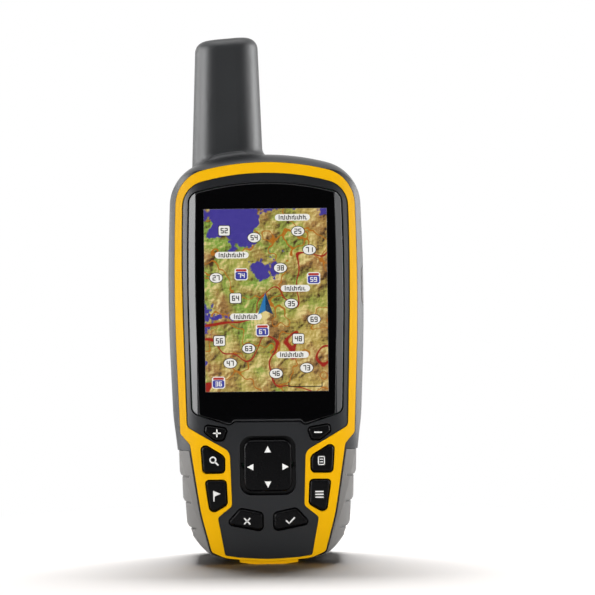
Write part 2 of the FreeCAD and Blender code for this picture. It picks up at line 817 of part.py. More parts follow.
def frame_slopes():
    """Room under the frame's face: flat over the lens, then falling to each side."""
    top = lens_front()
    start = size.frame_slope_start
    drop = size.frame_slope_drop
    far = start + 8
    points = [Vector(-start, top, 0), Vector(start, top, 0), Vector(far, top + 8 * drop, 0),
              Vector(far, 0, 0),
              Vector(-far, 0, 0), Vector(-far, top + 8 * drop, 0)]
    edges = [Part.makeLine(points[i], points[(i + 1) % 6]) for i in range(6)]
    return Part.Face(Part.Wire(edges)).extrude(Vector(0, 0, 160))


def make_lens_frame():
    body = prism(whole(FRAME), -30, -size.frame_back).common(frame_slopes())
    lens_back = lens_front() + size.lens_thick + size.lens_gasket
    body = body.cut([prism(grown(whole(LENS), size.fit_gap), -40, lens_back),
                     prism(grown(whole(LENS), -size.lens_ledge), -40, 0)])
    half = size.frame_tab_half
    top_z = max(z for _, z, _ in FRAME) - 4.6
    tab = slab((-half, half), (-size.key_rim_front, -size.frame_back), (top_z, top_z + 1.6 + size.frame_tab))
    low_z = min(z for _, z, _ in FRAME)
    low_tab = slab((-half + 5, half - 5), (-size.key_rim_front, -size.frame_back), (low_z - 0.4, low_z + 1.2))
    tabs = [piece.cut(prism(grown(whole(LENS), -size.lens_ledge), -40, 0)) for piece in (tab, low_tab)]
    return biggest(body.fuse(tabs))


def make_lens():
    front = lens_front()
    pane = prism(whole(LENS), front, front + size.lens_thick)
    rim = [edge for edge in pane.Edges if edge.BoundBox.YMax < front + 0.01]
    return pane.makeFillet(0.15, rim)


def make_gasket():
    back = lens_front() + size.lens_thick
    ring = prism(whole(LENS), back, back + size.lens_gasket)
    return ring.cut(prism(grown(whole(LENS), -size.lens_ledge), -30, 0))


def make_display():
    low = "panel_low_z"
    high = "panel_high_z"
    back = "(-panel_front + panel_thick)"
    panel = box("Panel", ("-panel_half", "panel_half"), ("-panel_front", back), (low, high))
    node(panel, "display_panel")
    light = box("Light", ("-panel_half", "panel_half"), (back, back + " + light_thick"), (low, high))
    node(light, "backlight")
    wall = "(panel_half + piece_gap + carrier_wall)"
    floor = "(%s + light_thick)" % back
    shell = box("CarrierShell", ("-" + wall, wall), ("-frame_back", floor + " + carrier_floor"),
                (low + " - piece_gap - carrier_wall", high + " + piece_gap + carrier_wall"))
    room = box("CarrierRoom", ("-panel_half - piece_gap", "panel_half + piece_gap"), ("-30", floor),
               (low + " - piece_gap", high + " + piece_gap"))
    legs = []
    for x in ("-panel_half + 2", "panel_half - 2"):
        for z in ("panel_low_z + 3", "panel_high_z - 3"):
            legs.append(rod("Leg", "carrier_leg", "(-board_front) - (%s + carrier_floor)" % floor, x,
                            floor + " + carrier_floor", z))
    frame = cut("CarrierCup", shell, room)
    node(joined("Carrier", frame, *legs), "display_carrier")
    flex = box("Flex", ("-panel_half + 6", "panel_half - 6"),
               (floor + " + carrier_floor + 0.1", "-board_front"),
               (low + " + 8", low + " + 20"))
    node(flex, "display_connector")


# ---- keys ---------------------------------------------------------------------------------------------

def outline_sketch(body, name, points, depth_rule):
    """A sketch of a rounded outline on the body's own XZ plane, moved to a depth."""
    sketch = body.newObject("Sketcher::SketchObject", name)
    plane = [item for item in body.Origin.OriginFeatures if item.Role == "XZ_Plane"][0]
    sketch.AttachmentSupport = [(plane, "")]
    sketch.MapMode = "FlatFace"
    bind(sketch, AttachmentOffset__Base__z=depth_rule)
    for edge in wire(points, 0).Edges:
        curve = edge.Curve
        start = Vector(edge.valueAt(edge.FirstParameter).x, edge.valueAt(edge.FirstParameter).z, 0)
        end = Vector(edge.valueAt(edge.LastParameter).x, edge.valueAt(edge.LastParameter).z, 0)
        if isinstance(curve, Part.Line):
            sketch.addGeometry(Part.LineSegment(start, end))
        else:
            half = edge.valueAt((edge.FirstParameter + edge.LastParameter) / 2)
            sketch.addGeometry(Part.Arc(start, Vector(half.x, half.z, 0), end))
    return sketch


def pad(body, sketch, name, rule):
    feature = body.newObject("PartDesign::Pad", name)
    feature.Profile = sketch
    bind(feature, Length=rule)
    body.Tip = feature
    return feature


def make_key(kind, side, label):
    """Cap, retaining rim and stem, padded forward from three sketches."""
    body = doc.addObject("PartDesign::Body", "Body_" + label)
    cap = grown(key_outline(kind, side), -size.key_gap)
    rim = grown(key_outline(kind, side), size.key_rim - size.key_gap)
    x, z = key_middle(kind, side)
    stem = [(x - size.key_stem, z + size.key_stem, 0.9), (x + size.key_stem, z + size.key_stem, 0.9),
            (x + size.key_stem, z - size.key_stem, 0.9), (x - size.key_stem, z - size.key_stem, 0.9)]
    pad(body, outline_sketch(body, "Stem_" + label, stem, "key_stem_back"), "StemPad_" + label,
        "key_rim_front - key_stem_back")
    pad(body, outline_sketch(body, "Rim_" + label, rim, "key_rim_front - key_rim_thick"), "RimPad_" + label,
        "key_rim_thick")
    pad(body, outline_sketch(body, "Cap_" + label, cap, "key_rim_front"), "CapPad_" + label,
        "face_depth + key_proud - key_rim_front")
    doc.recompute()
    edges = ["Edge%d" % (i + 1) for i, edge in enumerate(body.Shape.Edges)
             if edge.BoundBox.YMax < -size.face_depth - size.key_proud + 0.01]
    cap_pad = body.Tip
    soften = body.newObject("PartDesign::Fillet", "Soft_" + label)
    soften.Base = (cap_pad, edges)
    bind(soften, Radius="key_edge")
    body.Tip = soften
    node(body, label)


def make_rocker():
    """Rocker cap with four posts, and two saddles that ride on the gimbal."""
    cap = prism(rocker_corners(0, size.rocker_corner), -size.rocker_front, -size.rocker_back)
    rim = [edge for edge in cap.Edges if edge.BoundBox.YMax < -size.rocker_front + 0.01]
    cap = cap.makeFillet(size.rocker_edge, rim)
    pieces = [peg(size.rocker_post, x, z, -size.rocker_back, -size.rocker_post_back)
              for x, z in rocker_post_spots()]
    for sign in (1, -1):
        middle = size.rocker_z + sign * (size.gimbal_half - size.saddle_width / 2)
        pieces.append(slab((-size.saddle_width / 2, size.saddle_width / 2),
                           (-size.rocker_back, -size.gimbal_depth + size.gimbal_radius + 0.7),
                           (middle - size.saddle_width / 2, middle + size.saddle_width / 2)))
    bore = Part.makeCylinder(size.gimbal_radius + size.fit_gap, 20,
                             Vector(0, -size.gimbal_depth, size.rocker_z - 10), ALONG_Z)
    clear = Part.makeCylinder(size.gimbal_radius + size.saddle_room, 2 * size.gimbal_half + 1,
                              Vector(-size.gimbal_half - 0.5, -size.gimbal_depth, size.rocker_z), ALONG_X)
    return biggest(cap.fuse(pieces).cut([bore, clear]))


def make_gimbal():
    across = rod("GimbalAcross", "gimbal_radius", "2 * gimbal_half", "-gimbal_half", "-gimbal_depth",
                 "rocker_z",
                 ALONG_X)
    upright = rod("GimbalUpright", "gimbal_radius", "2 * gimbal_half", "0", "-gimbal_depth",
                  "rocker_z - gimbal_half", ALONG_Z)
    node(joined("Gimbal", across, upright), "rocker_gimbal")


def make_keypad():
    spots = key_middles()
    posts = rocker_post_spots()
    half = outer_key_x() + size.dome_radius + size.pad_margin
    edge = "(%g + dome_radius + pad_margin)" % outer_key_x()
    low = size.pad_low_z
    high = size.pad_high_z
    mat = slab((-half, half), (-size.mat_front, -size.mat_front + size.mat_thick), (low, high))
    holes = [peg(size.key_stem + 0.4, x, z, -20, 0) for x, z in spots]
    holes += [peg(size.rocker_post + 0.6, x, z, -20, 0) for x, z in posts]
    node(shaped("Mat", mat.cut(holes)), "keypad_mat")
    board = box("PadBoard", ("-" + edge, edge),
                ("-pad_board_front", "-pad_board_front + pad_board_thick"), ("pad_low_z", "pad_high_z"))
    node(board, "keypad_board")
    domes = []
    for x, z in spots + posts:
        radius = "dome_radius" if (x, z) in spots else "dome_radius * 0.6"
        dome = rod("Dome", radius, "dome_height", str(x), "-pad_board_front - dome_height", str(z))
        domes.append(dome)
    node(gathered("Domes", *domes), "key_domes")
    top = box("HeaderTop", ("-header_half", "header_half"),
              ("-pad_board_front + pad_board_thick", "-board_front"),
              ("pad_high_z - 4", "pad_high_z - 1"))
    node(top, "keypad_header")
    feet = [rod("PadFoot", "1.5", "pad_board_front - pad_board_thick - board_front", x,
                "-pad_board_front + pad_board_thick", "pad_low_z + 3") for x in ("-%s + 3" % edge,
                                                                                 edge + " - 3")]
    node(gathered("PadFeet", *feet), "keypad_spacers")


# ---- boards and what they carry -----------------------------------------------------------------------

def make_main_board():
    edge = grown(whole(SIDE), -size.case_wall - size.board_gap)
    board = prism(edge, -size.board_front, -size.board_front + size.board_thick)
    cuts = [slab((-60, 60), (-60, 60), (-20, size.board_low_z))]
    cuts += [peg(size.case_boss + 0.4, x, z, -20, 20) for x, z in case_screw_spots()]
    cuts += [peg(size.board_screw + 0.1, x, z, -20, 20) for x, z in board_screw_spots()]
    cuts.append(slab((size.power_plate_in - size.power_travel - 0.6, 60), (-60, 60),
                     (size.power_low_z - size.power_plate_rim - 0.6,
                      size.power_high_z + size.power_plate_rim + 0.6)))
    return biggest(board.cut(cuts))


def make_board_pieces():
    back = "(-board_front + board_thick)"
    cans = [box("Can", x, (back, back + " + can_height"), z)
            for x, z in ((("-19", "-4"), ("56", "82")), (("1", "17"), ("40", "66")),
                         (("-17", "-3"), ("24", "44")))]
    node(gathered("Cans", *cans), "shield_cans")
    node(rod("Beeper", "beeper_radius", "beeper_tall", "12", back, "108"), "beeper")
    switch_x = "(power_plate_in - power_travel - 1.0)"
    middle = "((power_low_z + power_high_z) / 2)"
    body = box("SwitchBody", (switch_x + " - switch_wide", switch_x), (back, back + " + switch_wide"),
               (middle + " - switch_tall / 2", middle + " + switch_tall / 2"))
    tip = rod("SwitchTip", "0.6", "0.8", switch_x, back + " + switch_wide / 2", middle, ALONG_X)
    node(joined("Switch", body, tip), "power_switch")


def make_power_key():
    """Power key: a cap that follows the side's surface and a plate behind the wall that stops it."""
    cap = power_block(0.0, 0.0).common(case_form(0.0))
    rim = size.power_plate_rim
    plate = slab((size.power_plate_in, size.power_plate_out),
                 (-size.power_plate_front, -size.joint_depth - 0.9),
                 (size.power_low_z - rim, size.power_high_z + rim))
    return biggest(cap.fuse([plate]).removeSplitter())


def screw(x, z, head_back, radius, head, long):
    """A pan-head screw driven forward; head_back is the depth of the seat under its head."""
    shaft = peg(radius, x, z, head_back - long, head_back)
    top = peg(head, x, z, head_back, head_back + size.screw_head_tall)
    slot = slab((x - head, x + head), (head_back + size.screw_head_tall - 0.5, head_back + 9),
                (z - 0.25, z + 0.25))
    return shaft.fuse([top]).cut(slot)


def make_screws():
    seat = -size.joint_depth + size.screw_seat
    shapes = [screw(x, z, seat, size.case_screw, size.case_screw_head, size.case_screw_long)
              for x, z in case_screw_spots()]
    node(shaped("CaseScrews", Part.makeCompound(shapes)), "case_screws")
    seat = -size.board_front + size.board_thick
    shapes = [screw(x, z, seat, size.board_screw, size.board_screw_head, 3.5) for x, z in board_screw_spots()]
    node(shaped("BoardScrews", Part.makeCompound(shapes)), "board_screws")


def make_ports():
    board = box("PortBoard", ("-port_x - 5.6", "port_x + 5.6"),
                ("port_board_y", "port_board_y + port_board_thick"),
                ("port_z - 6.5", "port_z + 6.5"))
    node(board, "port_board")
    header = box("PortHeader", ("-6", "6"), ("-board_front + board_thick", "port_board_y"),
                 ("port_z - 2.5", "port_z + 2.5"))
    node(header, "port_header")
    start = "(port_board_y + port_board_thick)"
    end = "(back_depth - port_cap_thick - plug_deep)"
    shell = box("UsbShell", ("-port_x - usb_wide / 2", "-port_x + usb_wide / 2"),
                (start, end + " + plug_deep - 0.4"),
                ("port_z - usb_tall / 2", "port_z + usb_tall / 2"))
    mouth = box("UsbMouth", ("-port_x - usb_wide / 2 + usb_shell", "-port_x + usb_wide / 2 - usb_shell"),
                (end + " - 5", "40"), ("port_z - usb_tall / 2 + usb_shell",
                                       "port_z + usb_tall / 2 - usb_shell"))
    tongue = box("UsbTongue", ("-port_x - 2.4", "-port_x + 2.4"), (end + " - 5", end + " - 0.6"),
                 ("port_z - 0.5", "port_z + 0.5"))
    node(joined("UsbSocket", cut("UsbCan", shell, mouth), tongue), "usb_socket")
    barrel = rod("JackBarrel", "jack_radius", end + " + plug_deep - 0.4 - " + start, "port_x", start,
                 "port_z")
    bore = rod("JackBore", "jack_bore", "20", "port_x", end + " - 3.5", "port_z")
    pin = rod("JackPin", "0.4", "2.8", "port_x", end + " - 3.5", "port_z")
    node(joined("Jack", cut("JackTube", barrel, bore), pin), "antenna_jack")


def make_port_cap(side):
    """Rubber flap with a short plug, hinged on the outer side of its recess."""
    front = size.back_depth - size.port_cap_thick
    lid = prism(port_cap_corners(side, 0.0), front, size.back_depth)
    x = side * size.port_x
    if side < 0:
        plug = slab((x - size.usb_wide / 2 + 1.2, x + size.usb_wide / 2 - 1.6),
                    (front - size.plug_deep, front),
                    (size.port_z - 1.2, size.port_z + 1.2))
    else:
        plug = peg(0.9, x, size.port_z, front - size.plug_deep, front)
    pull = slab((side * (size.port_hinge_x - size.port_cap_wide) - 1.2,
                 side * (size.port_hinge_x - size.port_cap_wide) + 1.2),
                (front, size.back_depth + 0.5), (size.port_z - 2, size.port_z + 2)).common(
        prism(port_cap_corners(side, -0.1), front, size.back_depth + 2))
    return lid.fuse([plug, pull]).removeSplitter()


def make_spine():
    back = "back_depth"
    z = ("spine_z - spine_long / 2", "spine_z + spine_long / 2")
    neck = box("SpineNeck", ("-spine_neck_half", "spine_neck_half"),
               (back, back + " + spine_neck_tall + 0.1"), z)
    head = box("SpineHead", ("-spine_head_half", "spine_head_half"),
               (back + " + spine_neck_tall", back + " + spine_neck_tall + spine_head_tall"), z)
    node(joined("Spine", neck, head), "mounting_spine")


# ---- cells, cover and latch ---------------------------------------------------------------------------

def cell_middle():
    return size.cell_radius + size.cell_gap / 2


def make_cell(name, label, side, nub_up):
    x = "%d * (cell_radius + cell_gap / 2)" % side
    if nub_up:
        start = "bay_low_z + contact_thick + spring_room"
        nub_start = start + " + cell_long"
    else:
        start = "bay_low_z + contact_thick + cell_nub + 0.2"
        nub_start = start + " - cell_nub"
    can = rod(name + "Can", "cell_radius", "cell_long", x, "cell_y", start, ALONG_Z)
    nub = rod(name + "Nub", "cell_nub_radius", "cell_nub", x, "cell_y", nub_start, ALONG_Z)
    node(joined(name, can, nub), label)


def leaf_spring(x, base, rise):
    """A bowed leaf between a contact plate at the base height and the flat end of a cell."""
    half = size.leaf_half
    thick = size.leaf_thick
    bow = math.copysign(thick, rise)
    edges = [Part.Arc(Vector(-half, 0, 0), Vector(0, 0, rise), Vector(half, 0, 0)).toShape(),
             Part.makeLine(Vector(half, 0, 0), Vector(half - thick, 0, 0)),
             Part.Arc(Vector(half - thick, 0, 0), Vector(0, 0, rise - bow),
                      Vector(thick - half, 0, 0)).toShape(),
             Part.makeLine(Vector(thick - half, 0, 0), Vector(-half, 0, 0))]
    leaf = Part.Face(Part.Wire(edges)).extrude(Vector(0, size.leaf_wide, 0))
    leaf.translate(Vector(x, size.cell_y - size.leaf_wide / 2, base))
    return leaf


def make_cell_contacts():
    low = size.bay_low_z
    high = low + size.bay_long
    x = cell_middle()
    thick = size.contact_thick
    plates = [slab((sign * x - 5, sign * x + 5), (size.cell_y - 5, size.cell_y + 5), (low, low + thick))
              for sign in (1, -1)]
    plates.append(slab((-x - 5, x + 5), (size.cell_y - 5, size.cell_y + 5), (high - thick, high)))
    node(shaped("Contacts", Part.makeCompound(plates)), "cell_contacts")
    first = low + thick
    top_of_right = low + thick + size.cell_nub + 0.2 + size.cell_long
    leaves = [leaf_spring(-x, first, size.spring_room - size.fit_gap),
              leaf_spring(x, high - thick, top_of_right - (high - thick) + size.fit_gap)]
    node(shaped("Springs", Part.makeCompound(leaves)), "cell_springs")


def make_cover():
    """Battery cover: a plate that follows the back, two hook tabs at its top and a hole for the latch."""
    front = cover_ledge() + size.fit_gap
    plate = prism(cover_corners(-size.piece_gap / 2), front, 30).common(case_form(-size.cover_proud))
    tabs = []
    for x in tab_spots():
        reach = size.cover_tab / 2
        tabs.append(slab((x - reach, x + reach), (front - 2.2, front + 0.3),
                         (size.cover_high_z - 4.4, size.cover_high_z - 2.6)))
        tabs.append(slab((x - reach, x + reach), (front - 2.2, front - 1.1),
                         (size.cover_high_z - 4.4, size.cover_high_z + size.cover_tab_reach)))
    hole = peg(size.latch_shaft + size.fit_gap, 0, size.latch_z, 0, 30)
    return biggest(plate.fuse(tabs).cut(hole))


def make_cover_gasket():
    back = cover_ledge()
    ring = prism(grown(bay_corners(), 1.5), back - size.cover_gasket, back)
    high = bay_limits()[2]
    cuts = [prism(bay_corners(), 0, 30)]
    for x in tab_spots():
        reach = size.cover_tab / 2 + 0.3
        cuts.append(slab((x - reach, x + reach), (0, 30), (high - 1, high + 5)))
    return ring.cut(cuts)


def latch_back():
    """Depth of the outer skin of the cover at the latch."""
    return size.back_depth + size.cover_proud


def make_latch():
    ledge = cover_ledge()
    knob_front = latch_back() + 0.1
    knob_back = knob_front + size.latch_knob_thick
    z = size.latch_z
    shaft = peg(size.latch_shaft, 0, z, ledge - 1.2, knob_back)
    knob = peg(size.latch_knob, 0, z, knob_front, knob_back)
    cam = slab((-size.latch_cam_half, size.latch_cam_half), (ledge - 2.6, ledge - 1.0),
               (z - size.latch_cam_tall / 2, z + size.latch_cam_tall / 2))
    cam = cam.common(peg(size.latch_cam_half, 0, z, ledge - 3, ledge))
    axle = knob_back + size.ring_wire + 0.1
    lug = slab((-size.latch_lug, size.latch_lug), (knob_back - 0.2, axle + size.ring_wire),
               (z - 1.6, z + 1.6))
    hole = Part.makeCylinder(size.ring_wire * 0.75 + size.fit_gap, 20, Vector(-10, axle, z), ALONG_X)
    return shaft.fuse([knob, cam, lug]).cut(hole), axle


def make_ring(axle):
    """Carrying ring: a thin axle through the lug and a hanging bow."""
    z = size.latch_z
    half = size.ring_half
    wire_radius = size.ring_wire
    pin = Part.makeCylinder(wire_radius * 0.75, 2 * half, Vector(-half, axle, z), ALONG_X)
    low = z - size.ring_drop
    path = Part.Wire([Part.makeLine(Vector(-half, axle, z + 0.4), Vector(-half, axle, low)),
                      Part.Arc(Vector(-half, axle, low), Vector(0, axle, low - half),
                               Vector(half, axle, low)).toShape(),
                      Part.makeLine(Vector(half, axle, low), Vector(half, axle, z + 0.4))])
    section = Part.Wire(Part.makeCircle(wire_radius, Vector(-half, axle, z + 0.4), ALONG_Z))
    bow = path.makePipeShell([section], True, True)
    return pin.fuse([bow])


# ---- antenna ------------------------------------------------------------------------------------------

def make_antenna_parts():
    back = "(-board_front + board_thick)"
    x = ("antenna_x - holder_half", "antenna_x + holder_half")
    holder = box("Holder", x, (back, "antenna_y + holder_half"),
                 ("holder_low_z", "holder_low_z + holder_tall"))
    node(holder, "antenna_holder")
    seat = "(holder_low_z + holder_tall)"
    amp = box("Amp", x, ("antenna_y - holder_half", "antenna_y + holder_half"), (seat, seat + " + amp_thick"))
    node(amp, "antenna_amplifier")
    foot = seat + " + amp_thick"
    long = "(antenna_top_z - former_top_gap - (%s))" % foot
    former = rod("FormerOut", "former_radius", long, "antenna_x", "antenna_y", foot, ALONG_Z)
    core = rod("FormerIn", "former_radius - former_wall", long + " - former_plug", "antenna_x", "antenna_y",
               foot, ALONG_Z)
    node(cut("Former", former, core), "antenna_former")
    strips = []
    margin = 1.5
    start = size.holder_low_z + size.holder_tall + size.amp_thick + margin
    rise = size.antenna_top_z - size.former_top_gap - margin - start
    path = Part.makeHelix(rise / size.strip_turns, rise, size.former_radius, 0)
    inner = size.former_radius + 0.01
    outer_edge = inner + size.strip_thick
    half = size.strip_wide / 2
    corners = [Vector(inner, 0, -half), Vector(outer_edge, 0, -half), Vector(outer_edge, 0, half),
               Vector(inner, 0, half)]
    section = Part.makePolygon(corners + corners[:1])
    strip = Part.Wire(path.Edges).makePipeShell([section], True, True)
    for quarter in range(4):
        copy = strip.copy()
        copy.rotate(Vector(), ALONG_Z, 90 * quarter)
        copy.translate(Vector(size.antenna_x, size.antenna_y, start))
        strips.append(copy)
    node(shaped("Strips", Part.makeCompound(strips)), "antenna_strips")


# ---- build --------------------------------------------------------------------------------------------

node(shaped("FrontHousing", make_front_housing()), "front_housing")
node(shaped("RearHousing", make_rear_housing()), "rear_housing")
node(shaped("Bezel", make_bezel()), "bezel")
node(shaped("Foot", foot_shape(0.0)), "bottom_foot")
node(shaped("Seal", make_seal()), "case_seal")
grip = make_grip()
node(shaped("GripLeft", on_left(grip)), "side_grip_left")
node(shaped("GripRight", grip), "side_grip_right")
node(shaped("LensFrame", make_lens_frame()), "lens_frame")
node(shaped("Lens", make_lens()), "lens")
node(shaped("LensGasket", make_gasket()), "lens_gasket")
make_display()
for kind, labels in KEY_NAMES.items():
    for side, label in enumerate(labels):
        make_key(kind, side, label)
node(shaped("Rocker", make_rocker()), "rocker_cap")
make_gimbal()
make_keypad()
node(shaped("MainBoard", make_main_board()), "main_board")
make_board_pieces()
node(shaped("PowerKey", make_power_key()), "power_key")
make_screws()
make_ports()
node(shaped("UsbCap", make_port_cap(-1)), "usb_cap")
node(shaped("JackCap", make_port_cap(1)), "jack_cap")
make_spine()
make_cell("CellLeft", "cell_left", -1, True)
make_cell("CellRight", "cell_right", 1, False)
make_cell_contacts()
node(shaped("Cover", make_cover()), "battery_cover")
node(shaped("CoverGasket", make_cover_gasket()), "cover_gasket")
latch, ring_axle = make_latch()
node(shaped("Latch", latch), "latch_knob")
node(shaped("Ring", make_ring(ring_axle)), "carrying_ring")
make_antenna_parts()

doc.recompute()
for thing in doc.Objects:
    if "Invalid" in thing.State or "Error" in thing.State:
        raise RuntimeError("failed feature: " + thing.Label)
for thing in nodes:
    if thing.Shape.isNull() or not thing.Shape.isValid():
        raise RuntimeError("bad shape: " + thing.Label)
os.makedirs("parts", exist_ok=True)
for thing in nodes:
    thing.Shape.exportStep(os.path.join("parts", thing.Label + ".step"))
    print("%-20s %2d solids %9.1f mm3" % (thing.Label, len(thing.Shape.Solids), thing.Shape.Volume))
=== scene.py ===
import math

import bpy
import numpy as np
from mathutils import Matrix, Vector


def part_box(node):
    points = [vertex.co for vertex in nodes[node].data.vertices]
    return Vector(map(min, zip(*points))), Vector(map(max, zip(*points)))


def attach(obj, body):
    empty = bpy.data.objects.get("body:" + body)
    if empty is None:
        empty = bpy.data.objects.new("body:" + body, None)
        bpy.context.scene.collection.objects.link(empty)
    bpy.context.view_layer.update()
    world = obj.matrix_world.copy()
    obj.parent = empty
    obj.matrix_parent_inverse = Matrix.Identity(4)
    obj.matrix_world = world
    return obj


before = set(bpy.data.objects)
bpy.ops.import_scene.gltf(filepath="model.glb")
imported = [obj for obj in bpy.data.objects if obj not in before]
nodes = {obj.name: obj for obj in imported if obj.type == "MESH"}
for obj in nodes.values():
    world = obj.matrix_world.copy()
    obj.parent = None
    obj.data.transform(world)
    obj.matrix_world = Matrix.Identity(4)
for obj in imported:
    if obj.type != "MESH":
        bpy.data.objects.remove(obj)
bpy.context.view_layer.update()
mm = 0.001
print("frame loaded:", len(nodes), "nodes")


def linear(hexCode):  # sRGB hex to the linear colour a shader takes
    parts = [int(hexCode[i:i + 2], 16) / 255 for i in (0, 2, 4)]
    return [p / 12.92 if p <= 0.04045 else ((p + 0.055) / 1.055) ** 2.4 for p in parts] + [1.0]


# adds one node: the settings are its properties, and the inputs are its sockets, as values or links
def addNode(tree, kind, inputs=None, **settings):
    node = tree.nodes.new(kind)
    for name, value in settings.items():
        setattr(node, name, value)
    for name, value in (inputs or {}).items():
        if isinstance(value, bpy.types.NodeSocket):
            tree.links.new(value, node.inputs[name])
        else:
            node.inputs[name].default_value = value
    return node


def newMaterial(name):  # an empty node material with its output
    material = bpy.data.materials.new(name)
    material.use_nodes = True
    material.node_tree.nodes.clear()
    return material, material.node_tree, addNode(material.node_tree, "ShaderNodeOutputMaterial")


def dress(material, *names):  # puts a material on CAD nodes
    for name in names:
        nodes[name].data.materials.clear()
        nodes[name].data.materials.append(material)


def makePiece(name, points, faces, material, body):  # points in mm; the piece rides on a body of the frame
    mesh = bpy.data.meshes.new(name)
    placed = (np.asarray(points, float) * mm).tolist()
    mesh.from_pydata(placed, [], [list(map(int, face)) for face in faces])
    mesh.validate()
    mesh.materials.append(material)
    piece = bpy.data.objects.new(name, mesh)
    bpy.context.scene.collection.objects.link(piece)
    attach(piece, body)
    return piece


# camera: straight from the front and rolled a little; lengths in mm, the roll in degrees and the shifts in
# widths of the sensor
bpy.context.scene.view_settings.view_transform = "Standard"
view = {"distance": 603.3, "height": 79.1, "lens": 118, "sensor": 36, "roll": 0.62, "shiftX": 0.0528,
        "shiftY": 0.0057}
cameraData = bpy.data.cameras.new("camera")
cameraData.lens = view["lens"]
cameraData.sensor_width = view["sensor"]
cameraData.shift_x = view["shiftX"]
cameraData.shift_y = view["shiftY"]
cameraData.clip_start = 0.01
camera = bpy.data.objects.new("camera", cameraData)
camera.location = (0, -view["distance"] * mm, view["height"] * mm)
camera.rotation_euler = (math.radians(90), math.radians(view["roll"]), 0)
bpy.context.scene.collection.objects.link(camera)
bpy.context.scene.camera = camera

# Lamps: azimuth 0 is the camera's side and 90 the object's right, distance and size are in metres, and
# radiance is the lamp's brightness. A sheen lamp only shows as a reflection, a tone lamp only lights, and the
# shadow lamp lights the floor alone, from above and behind, so that the shadow falls short and forward.
sideLamp = {"elevation": 6, "distance": 0.70, "wide": 0.19, "tall": 0.75, "use": "sheen"}
frontLamp = {"azimuth": 0, "distance": 0.90, "wide": 0.55, "tall": 0.45, "use": "tone"}
lamps = {
    "leftStrip": dict(sideLamp, azimuth=-70, wide=0.37, radiance=10.8),
    "leftRim": dict(sideLamp, azimuth=-110, radiance=7.6),
    "rightStrip": dict(sideLamp, azimuth=92, radiance=14.0),
    "rightRim": dict(sideLamp, azimuth=110, radiance=7.0),
    "rightFill": dict(sideLamp, azimuth=62, radiance=3.2),
    "topSheen": dict(sideLamp, azimuth=0, elevation=82, wide=0.70, tall=0.50, radiance=3.0),
    "leftTone": dict(sideLamp, azimuth=-76, wide=0.90, radiance=1.05, use="tone"),
    "rightTone": dict(sideLamp, azimuth=76, wide=0.90, radiance=1.15, use="tone"),
    "frontTone": dict(frontLamp, elevation=8, radiance=5.4),
    "highTone": dict(frontLamp, elevation=62, radiance=2.6),
    "shadowLamp": {"azimuth": 180, "elevation": 73, "distance": 0.70, "wide": 0.50, "tall": 0.16,
                   "radiance": 34.0, "use": "shadow"},
}
aim = np.array([0, 0, 0.08])  # the middle of the object, where every lamp points
floorGroup = bpy.data.collections.new("floorOnly")
pieceGroup = bpy.data.collections.new("allButFloor")
shineGroup = bpy.data.collections.new("allButFloorAndWindow")
receivers = {"shadow": floorGroup, "tone": pieceGroup, "sheen": shineGroup}
for lampName, lamp in lamps.items():
    data = bpy.data.lights.new(lampName, "AREA")
    data.shape = "RECTANGLE"
    data.size = lamp["wide"]
    data.size_y = lamp["tall"]
    data.energy = lamp["radiance"] * math.pi * lamp["wide"] * lamp["tall"]
    light = bpy.data.objects.new(lampName, data)
    turn, lift = math.radians(lamp["azimuth"]), math.radians(lamp["elevation"])
    away = np.array([math.sin(turn) * math.cos(lift), -math.cos(turn) * math.cos(lift), math.sin(lift)])
    light.location = away * lamp["distance"] + aim
    light.rotation_euler = (math.pi / 2 - lift, 0, turn)
    light.visible_glossy = lamp["use"] != "tone"
    light.visible_diffuse = lamp["use"] != "sheen"
    light.visible_transmission = lamp["use"] == "sheen"
    light.light_linking.receiver_collection = receivers[lamp["use"]]
    bpy.context.scene.collection.objects.link(light)

# room: white to the camera, a faint fill for the tone, and in reflections dark in front and pale behind
room = {"front": 0.04, "back": 1.2, "fill": 0.012, "rampFrom": -0.75, "rampTo": 0.35}
world = bpy.data.worlds.new("studio")
bpy.context.scene.world = world
world.use_nodes = True
tree = world.node_tree
tree.nodes.clear()
path = addNode(tree, "ShaderNodeLightPath")
direction = addNode(tree, "ShaderNodeTexCoord")
parts = addNode(tree, "ShaderNodeSeparateXYZ", {"Vector": direction.outputs["Generated"]})
mirrored = addNode(tree, "ShaderNodeMapRange", {
    "Value": parts.outputs["Y"], "From Min": room["rampFrom"], "From Max": room["rampTo"],
    "To Min": room["front"], "To Max": room["back"]}, interpolation_type="SMOOTHSTEP")
unseen = addNode(tree, "ShaderNodeMix", {"Factor": path.outputs["Is Glossy Ray"], "A": room["fill"],
                                         "B": mirrored.outputs["Result"]}, data_type="FLOAT")
strength = addNode(tree, "ShaderNodeMix", {"Factor": path.outputs["Is Camera Ray"],
                                           "A": unseen.outputs["Result"], "B": 1.0}, data_type="FLOAT")
sky = addNode(tree, "ShaderNodeBackground", {"Color": (1, 1, 1, 1), "Strength": strength.outputs["Result"]})
tree.links.new(sky.outputs[0], addNode(tree, "ShaderNodeOutputWorld").inputs["Surface"])

